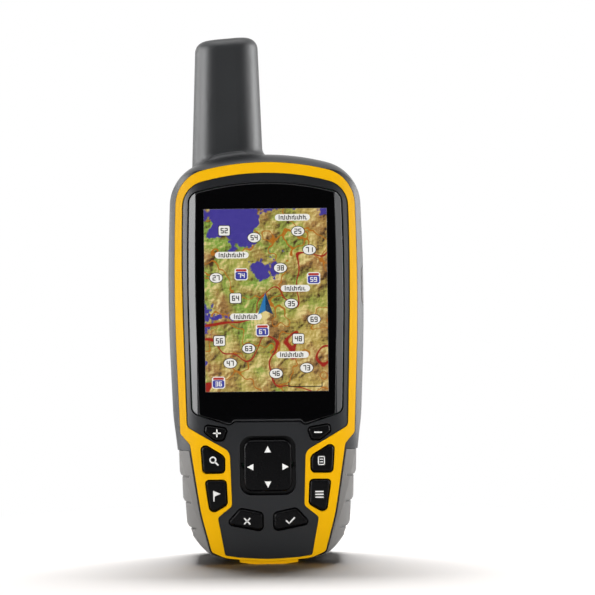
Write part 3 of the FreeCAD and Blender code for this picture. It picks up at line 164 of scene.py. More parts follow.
# floor: white paper near the object and pure white further out, where it is seen or mirrored, so that no edge
# of it shows; sizes in metres
floorLook = {"half": 0.32, "near": 0.075, "far": 0.16, "paper": "f6f3f1"}
material, tree, output = newMaterial("white_paper_floor")
coordinates = addNode(tree, "ShaderNodeTexCoord")
reach = addNode(tree, "ShaderNodeVectorMath", {0: coordinates.outputs["Object"]}, operation="LENGTH")
share = addNode(tree, "ShaderNodeMapRange", {
    "Value": reach.outputs["Value"], "From Min": floorLook["near"], "From Max": floorLook["far"]},
    interpolation_type="SMOOTHSTEP")
path = addNode(tree, "ShaderNodeLightPath")
seen = addNode(tree, "ShaderNodeMath", {0: path.outputs["Is Camera Ray"], 1: path.outputs["Is Glossy Ray"]},
               operation="MAXIMUM")
factor = addNode(tree, "ShaderNodeMath", {0: share.outputs["Result"], 1: seen.outputs[0]},
                 operation="MULTIPLY")
paper = addNode(tree, "ShaderNodeBsdfDiffuse", {"Color": linear(floorLook["paper"])})
white = addNode(tree, "ShaderNodeEmission", {"Color": (1, 1, 1, 1), "Strength": 1.0})
mixed = addNode(tree, "ShaderNodeMixShader", {0: factor.outputs[0], 1: paper.outputs[0], 2: white.outputs[0]})
tree.links.new(mixed.outputs[0], output.inputs["Surface"])
half = floorLook["half"]
corners = [(-half, -half, 0), (half, -half, 0), (half, half, 0), (-half, half, 0)]
floorMesh = bpy.data.meshes.new("floor")
floorMesh.from_pydata(corners, [], [(0, 1, 2, 3)])
floorMesh.materials.append(material)
floor = bpy.data.objects.new("floor", floorMesh)
bpy.context.scene.collection.objects.link(floor)
floorGroup.objects.link(floor)
pieceGroup.objects.link(floor)
shineGroup.objects.link(floor)
shineGroup.objects.link(nodes["lens"])  # no lamp's image covers the picture from the side
for group in (pieceGroup, shineGroup):
    for member in group.collection_objects:
        member.light_linking.link_state = "EXCLUDE"
print("camera, lamps and floor placed")


# Moulded or cast stock: fine grain, slow tone changes, softened and paler edges. In a look, grain and cloud
# are the sizes in mm of the grain and of the slow patches, and edge is the radius that its edges seem to
# have. A real mould's grain is finer, about 0.05 to 0.1 mm, and is drawn as coarse as it needs to show.
def mouldedFinish(name, look):
    material, tree, output = newMaterial(name)
    place = addNode(tree, "ShaderNodeTexCoord").outputs["Object"]
    grain = addNode(tree, "ShaderNodeTexNoise", {"Vector": place, "Scale": 1000 / look["grain"],
                                                 "Detail": 2.0})
    cloud = addNode(tree, "ShaderNodeTexNoise", {"Vector": place, "Scale": 1000 / look["cloud"],
                                                 "Detail": 3.0})
    soft = addNode(tree, "ShaderNodeBevel", {"Radius": look["edge"] * mm}, samples=6)
    bump = addNode(tree, "ShaderNodeBump", {"Strength": look["relief"], "Distance": 0.05 * mm,
                                            "Height": grain.outputs["Fac"], "Normal": soft.outputs["Normal"]})
    flat = addNode(tree, "ShaderNodeNewGeometry")
    bend = addNode(tree, "ShaderNodeVectorMath", {0: soft.outputs["Normal"], 1: flat.outputs["Normal"]},
                   operation="DOT_PRODUCT")
    # at an edge the softened normal leaves the true one, and their product falls from 1 to 0.90 or less
    wear = addNode(tree, "ShaderNodeMapRange", {"Value": bend.outputs["Value"], "From Min": 1.0,
                                                "From Max": 0.90, "To Max": look["wear"]})
    toned = addNode(tree, "ShaderNodeMix", {"Factor": cloud.outputs["Fac"], "A": linear(look["dark"]),
                                            "B": linear(look["light"])}, data_type="RGBA")
    worn = addNode(tree, "ShaderNodeMix", {"Factor": wear.outputs["Result"], "A": toned.outputs["Result"],
                                           "B": linear(look["worn"])}, data_type="RGBA")
    rough = addNode(tree, "ShaderNodeMapRange", {"Value": cloud.outputs["Fac"], "To Min": look["rough"][0],
                                                 "To Max": look["rough"][1]})
    shader = addNode(tree, "ShaderNodeBsdfPrincipled", {
        "Base Color": worn.outputs["Result"], "Roughness": rough.outputs["Result"], "IOR": look["ior"],
        "Sheen Weight": look.get("sheen", 0.0), "Sheen Roughness": look.get("sheenRough", 0.4),
        "Normal": bump.outputs["Normal"]})
    tree.links.new(shader.outputs[0], output.inputs["Surface"])
    return material


def rectangleMask(tree, place, half, low, high, soft):  # 1 where |x| < half and low < z < high, all in mm
    parts = addNode(tree, "ShaderNodeSeparateXYZ", {"Vector": place})
    across = addNode(tree, "ShaderNodeMath", {0: parts.outputs["X"]}, operation="ABSOLUTE")
    middle, tall = (low + high) / 2, (high - low) / 2
    lifted = addNode(tree, "ShaderNodeMath", {0: parts.outputs["Z"], 1: middle * mm}, operation="SUBTRACT")
    up = addNode(tree, "ShaderNodeMath", {0: lifted.outputs[0]}, operation="ABSOLUTE")
    inX = addNode(tree, "ShaderNodeMapRange", {"Value": across.outputs[0], "From Min": half * mm,
                                               "From Max": (half + soft) * mm, "To Min": 1.0, "To Max": 0.0})
    inZ = addNode(tree, "ShaderNodeMapRange", {"Value": up.outputs[0], "From Min": tall * mm,
                                               "From Max": (tall + soft) * mm, "To Min": 1.0, "To Max": 0.0})
    return addNode(tree, "ShaderNodeMath", {0: inX.outputs["Result"], 1: inZ.outputs["Result"]},
                   operation="MULTIPLY").outputs[0]


def paintOver(material, mask, hexCode):  # lays one colour over a finish where the mask is 1
    tree = material.node_tree
    shader = next(node for node in tree.nodes if node.type == "BSDF_PRINCIPLED")
    bare = shader.inputs["Base Color"].links[0].from_socket
    painted = addNode(tree, "ShaderNodeMix", {"Factor": mask, "A": bare, "B": linear(hexCode)},
                      data_type="RGBA")
    tree.links.new(painted.outputs["Result"], shader.inputs["Base Color"])


# textured PC/ABS from a spark-eroded mould: dark, even, with a soft reflection
charcoal = {"dark": "1b1c1e", "light": "232527", "worn": "3e3e40", "grain": 0.30, "cloud": 14, "edge": 0.22,
            "relief": 0.25, "wear": 0.5, "rough": (0.42, 0.50), "ior": 1.5}
charcoalPlastic = mouldedFinish("charcoal_pc_abs_textured", charcoal)
dress(charcoalPlastic, "rear_housing", "battery_cover", "mounting_spine", "display_carrier", "antenna_holder")

# the face is the same stock, a little smoother; in the moat round the rocker, up to its rim, it is painted
# near black as painted shade of the recess
faceLook = dict(charcoal, dark="16171a", light="1d1f22", rough=(0.34, 0.40), ior=1.42)
moatShade = {"half": 8.5, "low": 20.5, "high": 38.7, "soft": 0.05, "rim": -16.5, "black": "040405"}
facePlastic = mouldedFinish("charcoal_pc_abs_face", faceLook)
tree = facePlastic.node_tree
place = addNode(tree, "ShaderNodeTexCoord").outputs["Object"]
inside = rectangleMask(tree, place, moatShade["half"], moatShade["low"], moatShade["high"], moatShade["soft"])
parts = addNode(tree, "ShaderNodeSeparateXYZ", {"Vector": place})
behind = addNode(tree, "ShaderNodeMath", {0: parts.outputs["Y"], 1: moatShade["rim"] * mm},
                 operation="GREATER_THAN")
paintedMoatShade = addNode(tree, "ShaderNodeMath", {0: inside, 1: behind.outputs[0]}, operation="MULTIPLY")
# painted shade: the face inside the moat and behind its rim is painted near black
paintOver(facePlastic, paintedMoatShade.outputs[0], moatShade["black"])
dress(facePlastic, "front_housing")

# the window's frame and the small parts inside are the same stock from a polished mould: sharper reflections
frameLook = dict(faceLook, grain=0.6, relief=0.08, rough=(0.26, 0.34), ior=1.5)
framePlastic = mouldedFinish("charcoal_pc_abs_polished", frameLook)
dress(framePlastic, "lens_frame", "display_connector", "keypad_header", "port_header", "power_switch",
      "beeper")

# through-coloured yellow ABS: satin, with a weak reflection that leaves the colour strong
yellow = {"dark": "e9ad03", "light": "efb605", "worn": "f1be18", "grain": 0.45, "cloud": 22, "edge": 0.2,
          "relief": 0.08, "wear": 0.25, "rough": (0.45, 0.55), "ior": 1.14}
dress(mouldedFinish("yellow_abs_satin", yellow), "bezel", "bottom_foot")

# overmoulded thermoplastic elastomer: grey, matt, with a fine tooth
greyElastomer = {"dark": "6a6866", "light": "757371", "worn": "888684", "grain": 0.35, "cloud": 9,
                 "edge": 0.3, "relief": 0.5, "wear": 0.4, "rough": (0.55, 0.68), "ior": 1.5, "sheen": 0.3,
                 "sheenRough": 0.5}
gripRubber = mouldedFinish("grey_elastomer_overmould", greyElastomer)
dress(gripRubber, "side_grip_left", "side_grip_right", "power_key")

# black EPDM for caps and seals: dull, a little grey where it is rubbed
blackRubberLook = dict(greyElastomer, dark="161617", light="1e1e1f", worn="2c2c2c", relief=0.3)
blackRubber = mouldedFinish("black_epdm_rubber", blackRubberLook)
dress(blackRubber, "case_seal", "lens_gasket", "usb_cap", "jack_cap", "cover_gasket")

# moulded silicone mat under the keys: the dark that shows in the gaps round them
matLook = dict(blackRubberLook, dark="08080a", light="0c0c0e", worn="141416", sheen=0.0, ior=1.3)
dress(mouldedFinish("black_silicone_mat", matLook), "keypad_mat")

# keys in pigmented silicone with a hard polyurethane top coat: near black, a little paler at the edges
keyLook = {"dark": "050506", "light": "08080a", "worn": "161719", "grain": 0.35, "cloud": 5, "edge": 0.25,
           "relief": 0.12, "wear": 0.35, "rough": (0.24, 0.30), "ior": 1.21}
keyRubber = mouldedFinish("black_silicone_coated", keyLook)
dress(keyRubber, "key_zoom_in", "key_zoom_out", "key_find", "key_page", "key_mark", "key_menu", "key_quit",
      "key_enter")

# The rocker carries four white arrows. Far and near are the larger and the smaller of a point's distances
# across and up from its middle, and an arrow is where far runs from the foot to the tip and near is under a
# share, the spread, of what is left to the tip.
arrows = {"z": 29.25, "foot": 4.35, "tip": 6.25, "spread": 0.52, "ink": "f2f2f0"}
rockerRubber = mouldedFinish("black_silicone_with_arrows", keyLook)
tree = rockerRubber.node_tree
place = addNode(tree, "ShaderNodeTexCoord").outputs["Object"]
parts = addNode(tree, "ShaderNodeSeparateXYZ", {"Vector": place})
aside = addNode(tree, "ShaderNodeMath", {0: parts.outputs["X"]}, operation="ABSOLUTE")
lift = addNode(tree, "ShaderNodeMath", {0: parts.outputs["Z"], 1: arrows["z"] * mm}, operation="SUBTRACT")
up = addNode(tree, "ShaderNodeMath", {0: lift.outputs[0]}, operation="ABSOLUTE")
far = addNode(tree, "ShaderNodeMath", {0: aside.outputs[0], 1: up.outputs[0]}, operation="MAXIMUM")
near = addNode(tree, "ShaderNodeMath", {0: aside.outputs[0], 1: up.outputs[0]}, operation="MINIMUM")
left = addNode(tree, "ShaderNodeMath", {0: arrows["tip"] * mm, 1: far.outputs[0]}, operation="SUBTRACT")
wide = addNode(tree, "ShaderNodeMath", {0: left.outputs[0], 1: arrows["spread"]}, operation="MULTIPLY")
under = addNode(tree, "ShaderNodeMath", {0: near.outputs[0], 1: wide.outputs[0]}, operation="LESS_THAN")
past = addNode(tree, "ShaderNodeMath", {0: far.outputs[0], 1: arrows["foot"] * mm}, operation="GREATER_THAN")
mask = addNode(tree, "ShaderNodeMath", {0: under.outputs[0], 1: past.outputs[0]}, operation="MULTIPLY")
paintOver(rockerRubber, mask.outputs[0], arrows["ink"])
dress(rockerRubber, "rocker_cap")
print("plastics and rubbers made")


# Drawn or rolled metal: fine lines and slow stains in its gloss. In a look, pitch and cloud are the sizes in
# mm of the lines, which are finer on real stock and drawn as coarse as they need to show, and of the stains.
# The three numbers of lines scale the noise along x, y and z, and a small one draws it out along its axis.
def metalFinish(name, look):
    material, tree, output = newMaterial(name)
    place = addNode(tree, "ShaderNodeTexCoord").outputs["Object"]
    drawn = addNode(tree, "ShaderNodeMapping", {"Vector": place, "Scale": look["lines"]})
    lines = addNode(tree, "ShaderNodeTexNoise", {"Vector": drawn.outputs["Vector"],
                                                 "Scale": 1000 / look["pitch"], "Detail": 2.0})
    stain = addNode(tree, "ShaderNodeTexNoise", {"Vector": place, "Scale": 1000 / look["cloud"],
                                                 "Detail": 3.0})
    soft = addNode(tree, "ShaderNodeBevel", {"Radius": look["edge"] * mm}, samples=4)
    bump = addNode(tree, "ShaderNodeBump", {"Strength": look["relief"], "Distance": 0.02 * mm,
                                            "Height": lines.outputs["Fac"], "Normal": soft.outputs["Normal"]})
    toned = addNode(tree, "ShaderNodeMix", {"Factor": stain.outputs["Fac"], "A": linear(look["dark"]),
                                            "B": linear(look["light"])}, data_type="RGBA")
    rough = addNode(tree, "ShaderNodeMapRange", {"Value": stain.outputs["Fac"], "To Min": look["rough"][0],
                                                 "To Max": look["rough"][1]})
    shader = addNode(tree, "ShaderNodeBsdfPrincipled", {
        "Base Color": toned.outputs["Result"], "Roughness": rough.outputs["Result"], "Metallic": 1.0,
        "Normal": bump.outputs["Normal"]})
    tree.links.new(shader.outputs[0], output.inputs["Surface"])
    return material


# stainless steel, drawn and tumbled: grey mirror broken by fine lines
steel = {"dark": "8f9092", "light": "b4b5b6", "lines": (1.0, 0.08, 1.0), "pitch": 0.25, "cloud": 4,
         "edge": 0.1, "relief": 0.15, "rough": (0.24, 0.38)}
dress(metalFinish("stainless_steel_drawn", steel), "latch_knob", "carrying_ring", "case_screws",
      "board_screws", "rocker_gimbal", "keypad_spacers")
# tin plate: shield cans, the socket's shell and the key domes, softer and whiter than steel
tin = dict(steel, dark="a8a8a4", light="c6c6c2", rough=(0.30, 0.45))
dress(metalFinish("tin_plated_steel", tin), "shield_cans", "usb_socket", "key_domes")
# phosphor bronze under nickel, for springs and plates: a warmer grey
bronze = dict(steel, dark="a39a8c", light="bdb5a6", rough=(0.28, 0.40))
dress(metalFinish("nickelled_phosphor_bronze", bronze), "cell_contacts", "cell_springs")
# gold flash over turned brass on the jack: a bright warm yellow
gold = dict(steel, dark="c79a3e", light="dcb458", rough=(0.20, 0.30))
dress(metalFinish("gold_flashed_brass", gold), "antenna_jack")
# rolled copper foil on the antenna: a soft red metal
copper = dict(steel, dark="b06a42", light="c98058", rough=(0.25, 0.40))
dress(metalFinish("copper_foil", copper), "antenna_strips")

# Circuit board of glass-filled epoxy: green solder mask, paler over the traces. The traces are the borders of
# cells of the raster's size in mm, coarser than real ones so that they show, and clear is how far from a
# cell's middle they start, in rasters.
boardLook = {"mask": "12402a", "trace": "1d5a3a", "raster": 1.6, "uneven": 0.35, "clear": 0.42,
             "rough": 0.32, "ior": 1.5}
material, tree, output = newMaterial("fr4_board_green_mask")
place = addNode(tree, "ShaderNodeTexCoord").outputs["Object"]
traces = addNode(tree, "ShaderNodeTexVoronoi", {"Vector": place, "Scale": 1000 / boardLook["raster"],
                                                "Randomness": boardLook["uneven"]}, distance="CHEBYCHEV")
lit = addNode(tree, "ShaderNodeMath", {0: traces.outputs["Distance"], 1: boardLook["clear"]},
              operation="GREATER_THAN")
toned = addNode(tree, "ShaderNodeMix", {"Factor": lit.outputs[0], "A": linear(boardLook["mask"]),
                                        "B": linear(boardLook["trace"])}, data_type="RGBA")
shader = addNode(tree, "ShaderNodeBsdfPrincipled", {"Base Color": toned.outputs["Result"],
                                                    "Roughness": boardLook["rough"],
                                                    "IOR": boardLook["ior"]})
tree.links.new(shader.outputs[0], output.inputs["Surface"])
dress(material, "main_board", "keypad_board", "port_board", "antenna_amplifier")

# white polyester reflector film behind the display: flat and matt
filmLook = dict(greyElastomer, dark="d8d8d4", light="e6e6e2", worn="f0f0ee", relief=0.05, rough=(0.5, 0.6),
                sheen=0.0)
dress(mouldedFinish("white_reflector_film", filmLook), "backlight")
# pressed and fired steatite under the antenna strips: a chalky cream
steatiteLook = dict(filmLook, dark="cfc3ab", light="dfd6c2", worn="e8e0cf", relief=0.2, rough=(0.35, 0.5))
dress(mouldedFinish("steatite_ceramic", steatiteLook), "antenna_former")

# cells in a shrunk and printed film sleeve: dark, scuffed, with a copper-coloured end above the split, in mm
cellLook = {"sleeve": "1b1c1f", "band": "b0713c", "split": 57.5, "scuff": 6, "rough": (0.22, 0.42),
            "metal": 0.35}
material, tree, output = newMaterial("cell_sleeve_film")
place = addNode(tree, "ShaderNodeTexCoord").outputs["Object"]
parts = addNode(tree, "ShaderNodeSeparateXYZ", {"Vector": place})
above = addNode(tree, "ShaderNodeMath", {0: parts.outputs["Z"], 1: cellLook["split"] * mm},
                operation="GREATER_THAN")
scuff = addNode(tree, "ShaderNodeTexNoise", {"Vector": place, "Scale": 1000 / cellLook["scuff"],
                                             "Detail": 4.0})
toned = addNode(tree, "ShaderNodeMix", {"Factor": above.outputs[0], "A": linear(cellLook["sleeve"]),
                                        "B": linear(cellLook["band"])}, data_type="RGBA")
rough = addNode(tree, "ShaderNodeMapRange", {"Value": scuff.outputs["Fac"], "To Min": cellLook["rough"][0],
                                             "To Max": cellLook["rough"][1]})
shader = addNode(tree, "ShaderNodeBsdfPrincipled", {"Base Color": toned.outputs["Result"],
                                                    "Roughness": rough.outputs["Result"],
                                                    "Metallic": cellLook["metal"]})
tree.links.new(shader.outputs[0], output.inputs["Surface"])
dress(material, "cell_left", "cell_right")
print("metals, boards and cells made")

# Cast acrylic with a black print round the picture: clear in the middle, jet black and glossy outside. All
# in mm: half is half the clear part's width, and smudge is the size of the duller patches.
window = {"half": 18.45, "low": 51.9, "high": 106.8, "soft": 0.06, "print": "020203", "ior": 1.42,
          "rough": (0.03, 0.06), "smudge": 22, "smudgeFrom": 0.4, "smudgeTo": 0.8}
material, tree, output = newMaterial("acrylic_window_black_print")
place = addNode(tree, "ShaderNodeTexCoord").outputs["Object"]
clear = rectangleMask(tree, place, window["half"], window["low"], window["high"], window["soft"])
smudge = addNode(tree, "ShaderNodeTexNoise", {"Vector": place, "Scale": 1000 / window["smudge"],
                                              "Detail": 4.0})
rough = addNode(tree, "ShaderNodeMapRange", {
    "Value": smudge.outputs["Fac"], "From Min": window["smudgeFrom"], "From Max": window["smudgeTo"],
    "To Min": window["rough"][0], "To Max": window["rough"][1]})
base = addNode(tree, "ShaderNodeMix", {"Factor": clear, "A": linear(window["print"]), "B": (1, 1, 1, 1)},
               data_type="RGBA")
shader = addNode(tree, "ShaderNodeBsdfPrincipled", {
    "Base Color": base.outputs["Result"], "IOR": window["ior"], "Roughness": rough.outputs["Result"],
    "Transmission Weight": clear})
tree.links.new(shader.outputs[0], output.inputs["Surface"])
dress(material, "lens")

# The lit picture is a chart with shaded relief, water and roads, all cut from noise fields. Each field has
# the place (x, z) where it is cut from the noise, and its pitch, both in mm.
fields = {
    "height": {"shift": (3.1, 7.7), "pitch": 8.0, "detail": 6.0, "roughness": 0.52},
    "region": {"shift": (40.0, 11.0), "pitch": 30.0, "detail": 3.0, "roughness": 0.55},
    "shore": {"shift": (11.0, 63.0), "pitch": 13.0, "detail": 6.0, "roughness": 0.6},
    "ripple": {"shift": (5.0, 2.0), "pitch": 1.2, "detail": 2.0, "roughness": 0.55},
    "track": {"shift": (71.0, 9.0), "pitch": 13.0, "detail": 2.5, "roughness": 0.55},
    "road": {"shift": (17.0, 31.0), "pitch": 24.0, "detail": 2.0, "roughness": 0.55},
}
# A field runs from 0 to 1. Most pairs are the levels between which a tint fades in, and a track or a road is
# a level and the width of its line. For each mm to the right, eastRise lifts the land and sinks the sea, and
# seaRise lifts the sea for each mm above seaFrom. The slope over shadeStep, in mm, lights or shades the land.
chart = {"plain": (0.43, 0.56), "hill": (0.46, 0.60), "peak": (0.60, 0.74), "bright": (0.55, 1.1),
         "shadow": (0.46, -0.15), "shore": (0.575, 0.585), "track": (0.50, 0.008), "road": (0.47, 0.0065),
         "eastRise": 0.006, "seaRise": 0.0065, "seaFrom": 92, "shadeStep": 0.40, "shadeGain": 11.0,
         "margin": 0.2, "soft": 0.05, "unlit": (0.01, 0.01, 0.01, 1), "rough": 0.35, "glow": 1.0}
tints = {"lowland": "86a544", "plain": "b8a052", "hill": "a88048", "peak": "6f4c2e", "bright": "e2cd8a",
         "shadow": "452d18", "water": "4a3f9a", "deepWater": "3b3388", "road": "9c2318", "track": "b06c1c"}
material, tree, output = newMaterial("lit_colour_display")
place = addNode(tree, "ShaderNodeTexCoord").outputs["Object"]
lit = rectangleMask(tree, place, window["half"] + chart["margin"], window["low"] - chart["margin"],
                    window["high"] + chart["margin"], chart["soft"])
inMm = addNode(tree, "ShaderNodeVectorMath", {0: place, "Scale": 1000.0}, operation="SCALE").outputs["Vector"]


def field(name, step=0.0):  # one of the noise fields, or the same field a step to the right and down
    look = fields[name]
    x, z = look["shift"]
    moved = addNode(tree, "ShaderNodeMapping", {"Vector": inMm, "Location": (x + step, 0, z - step)})
    return addNode(tree, "ShaderNodeTexNoise", {
        "Vector": moved.outputs["Vector"], "Scale": 1 / look["pitch"], "Detail": look["detail"],
        "Roughness": look["roughness"]}).outputs["Fac"]


def tint(factor, first, second):  # a colour mix by a factor
    return addNode(tree, "ShaderNodeMix", {"Factor": factor, "A": first, "B": second},
                   data_type="RGBA").outputs["Result"]


def lineAt(value, level, width):  # 1 on the line where a field passes a level, fading over its width
    off = addNode(tree, "ShaderNodeMath", {0: value, 1: level}, operation="SUBTRACT")
    away = addNode(tree, "ShaderNodeMath", {0: off.outputs[0]}, operation="ABSOLUTE")
    return addNode(tree, "ShaderNodeMapRange", {
        "Value": away.outputs[0], "From Min": width * 0.6, "From Max": width, "To Min": 1.0,
        "To Max": 0.0}).outputs["Result"]


def fade(value, levels):  # 0 at the first level and 1 at the second
    return addNode(tree, "ShaderNodeMapRange", {"Value": value, "From Min": levels[0],
                                                "From Max": levels[1]}).outputs["Result"]


height = field("height")
heightBeside = field("height", chart["shadeStep"])
slope = addNode(tree, "ShaderNodeMath", {0: heightBeside, 1: height}, operation="SUBTRACT")
shade = addNode(tree, "ShaderNodeMath", {0: slope.outputs[0], 1: chart["shadeGain"], 2: 0.5},
                operation="MULTIPLY_ADD").outputs[0]
sides = addNode(tree, "ShaderNodeSeparateXYZ", {"Vector": inMm})
east = addNode(tree, "ShaderNodeMath", {0: sides.outputs["X"], 1: chart["eastRise"]}, operation="MULTIPLY")
upland = addNode(tree, "ShaderNodeMath", {0: field("region"), 1: east.outputs[0]}, operation="ADD").outputs[0]
land = tint(fade(upland, chart["plain"]), linear(tints["lowland"]), linear(tints["plain"]))
for name, value in (("hill", height), ("peak", height), ("bright", shade), ("shadow", shade)):
    land = tint(fade(value, chart[name]), land, linear(tints[name]))
north = addNode(tree, "ShaderNodeMath", {
    0: sides.outputs["Z"], 1: chart["seaRise"], 2: -chart["seaRise"] * chart["seaFrom"]},
    operation="MULTIPLY_ADD")
shore = addNode(tree, "ShaderNodeMath", {0: field("shore"), 1: east.outputs[0]}, operation="SUBTRACT")
sea = addNode(tree, "ShaderNodeMath", {0: shore.outputs[0], 1: north.outputs[0]}, operation="ADD").outputs[0]
wet = fade(sea, chart["shore"])
water = tint(field("ripple"), linear(tints["water"]), linear(tints["deepWater"]))
tracks = lineAt(field("track"), *chart["track"])
roads = lineAt(field("road"), *chart["road"])
dry = addNode(tree, "ShaderNodeMath", {0: 1.0, 1: wet}, operation="SUBTRACT").outputs[0]
onLand = addNode(tree, "ShaderNodeMath", {0: tracks, 1: dry}, operation="MULTIPLY").outputs[0]
drawn = tint(onLand, tint(wet, land, water), linear(tints["track"]))
drawn = tint(roads, drawn, linear(tints["road"]))
shown = tint(lit, (0, 0, 0, 1), drawn)
shader = addNode(tree, "ShaderNodeBsdfPrincipled", {
    "Base Color": chart["unlit"], "Roughness": chart["rough"], "Emission Color": shown,
    "Emission Strength": chart["glow"]})
tree.links.new(shader.outputs[0], output.inputs["Surface"])
dress(material, "display_panel")
print("window and picture made")


# flat printed shapes are closed curves of (x, z) in mm
def ellipse(x, z, wide, tall, count=40):  # x + wide cos t, z + tall sin t
    t = np.linspace(0, 2 * math.pi, count, endpoint=False)
    return np.column_stack([x + wide * np.cos(t), z + tall * np.sin(t)])


def bar(x0, z0, x1, z1, width, count=7):  # a straight stroke with a half circle round each end
    turn = math.atan2(z1 - z0, x1 - x0)
    t = np.linspace(-math.pi / 2, math.pi / 2, count)
    front = np.column_stack([x1 + width / 2 * np.cos(t + turn), z1 + width / 2 * np.sin(t + turn)])
    back = np.column_stack([x0 - width / 2 * np.cos(t + turn), z0 - width / 2 * np.sin(t + turn)])
    return np.concatenate([front, back])


def ring(x, z, radius, width, count=36):  # a circle walked outside and then back inside, cut at its start
    t = np.linspace(0, 2 * math.pi, count)
    outer, inner = radius + width / 2, radius - width / 2
    outside = np.column_stack([x + outer * np.cos(t), z + outer * np.sin(t)])
    inside = np.column_stack([x + inner * np.cos(t), z + inner * np.sin(t)])[::-1]
    return np.concatenate([outside, inside])


def frameStrokes(x0, z0, x1, z1, width):  # four strokes round a rectangle
    return [bar(x0, z0, x1, z0, width), bar(x1, z0, x1, z1, width), bar(x1, z1, x0, z1, width),
            bar(x0, z1, x0, z0, width)]


def block(x, z, half, tall, cut):  # a rectangle with its corners cut off
    side, rise = half - cut, tall - cut
    return [(x - half, z - rise), (x - side, z - tall), (x + side, z - tall), (x + half, z - rise),
            (x + half, z + rise), (x + side, z + tall), (x - side, z + tall), (x - half, z + rise)]


# each outline stands at the front depth and again one thickness behind it, joined by a wall
def platePiece(name, outlines, front, thick, material, body):
    points, faces, start = [], [], 0
    for outline in outlines:
        outline = np.asarray(outline, float)
        count = len(outline)
        following = np.roll(outline, -1, axis=0)
        area = np.sum(outline[:, 0] * following[:, 1] - following[:, 0] * outline[:, 1])
        if area < 0:
            outline = outline[::-1]
        near = np.column_stack([outline[:, 0], np.full(count, front), outline[:, 1]])
        points += [near, near + [0, thick, 0]]
        i = np.arange(count)
        j = (i + 1) % count
        faces.append((start + i).tolist())
        faces.append((start + count + i[::-1]).tolist())
        faces += np.column_stack([start + j, start + i, start + count + i, start + count + j]).tolist()
        start += 2 * count
    return makePiece(name, np.concatenate(points), faces, material, body)


# Screen-printed ink: even, faintly mottled, a little glossy, and with a glow it is a colour of the lit
# picture. A real print's mottle is finer than its size here, in mm, which is as coarse as it needs to show.
inkLook = {"mottle": 0.4, "thin": 0.86, "rough": 0.45, "unlit": (0.02, 0.02, 0.02, 1)}


def inkFinish(name, hexCode, glow=0.0):
    material, tree, output = newMaterial(name)
    place = addNode(tree, "ShaderNodeTexCoord").outputs["Object"]
    mottle = addNode(tree, "ShaderNodeTexNoise", {"Vector": place, "Scale": 1000 / inkLook["mottle"],
                                                  "Detail": 2.0})
    thin = [value * inkLook["thin"] for value in linear(hexCode)[:3]] + [1.0]
    ink = addNode(tree, "ShaderNodeMix", {"Factor": mottle.outputs["Fac"], "A": thin, "B": linear(hexCode)},
                  data_type="RGBA").outputs["Result"]
    colours = {"Base Color": inkLook["unlit"], "Emission Color": ink} if glow else {"Base Color": ink}
    shader = addNode(tree, "ShaderNodeBsdfPrincipled", {
        "Roughness": inkLook["rough"], "Emission Strength": glow, **colours})
    tree.links.new(shader.outputs[0], output.inputs["Surface"])
    return material


# the keys' legends: a layer of ink that stands just in front of each key and rides on it
legend = {"stand": 0.02, "thick": 0.018, "line": 0.42}
line = legend["line"]
legends = {
    "key_zoom_in": [bar(-16.2, 39.5, -14.2, 39.5, line), bar(-15.2, 38.5, -15.2, 40.5, line)],
    "key_zoom_out": [bar(14.2, 39.5, 16.2, 39.5, line)],
    "key_find": [ring(-16.5, 31.5, 0.85, line), bar(-15.85, 30.85, -15.0, 30.0, line * 1.15)],
    "key_page": [*frameStrokes(15.2, 29.8, 17.0, 32.2, line * 0.75), bar(15.7, 31.4, 16.5, 31.4, line * 0.7),
                 bar(15.7, 30.6, 16.5, 30.6, line * 0.7)],
    "key_mark": [bar(-16.3, 19.2, -16.3, 22.0, line), [(-16.1, 22.1), (-16.1, 20.5), (-14.3, 21.3)]],
    "key_menu": [bar(14.3, 20.0 + 0.85 * k, 16.5, 20.0 + 0.85 * k, line) for k in range(3)],
    "key_quit": [bar(-7.2, 12.2, -5.6, 13.8, line), bar(-7.2, 13.8, -5.6, 12.2, line)],
    "key_enter": [bar(5.4, 13.0, 6.2, 12.2, line), bar(6.2, 12.2, 7.8, 13.9, line)],
}
keyInk = inkFinish("white_polyurethane_ink", "ececea")
for keyName, outlines in legends.items():
    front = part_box(keyName)[0].y / mm
    platePiece("legend_" + keyName, outlines, front - legend["stand"], legend["thick"], keyInk, keyName)

# the seven strokes of a plain figure as (x0, z0, x1, z1) in halves of its width and height, and which of them
# each figure uses
strokes = {"top": (-1, 1, 1, 1), "middle": (-1, 0, 1, 0), "foot": (-1, -1, 1, -1), "upLeft": (-1, 0, -1, 1),
           "upRight": (1, 0, 1, 1), "lowLeft": (-1, -1, -1, 0), "lowRight": (1, -1, 1, 0)}
figures = {"1": "upRight lowRight", "2": "top upRight middle lowLeft foot",
           "3": "top upRight middle lowRight foot", "4": "upLeft middle upRight lowRight",
           "5": "top upLeft middle lowRight foot", "6": "top upLeft middle lowLeft lowRight foot",
           "7": "top upRight lowRight", "8": "top upLeft upRight middle lowLeft lowRight foot",
           "9": "top upLeft upRight middle lowRight foot"}


def number(x, z, value, half, tall, width):  # the strokes of a number of two figures
    made = []
    for place, figure in enumerate(str(value)):
        middle = x + (place - 0.5) * 2 * (half + width * 0.9)
        for stroke in figures[figure].split():
            x0, z0, x1, z1 = strokes[stroke]
            made.append(bar(middle + x0 * half, z + z0 * tall, middle + x1 * half, z + z1 * tall, width,
                            count=4))
    return made


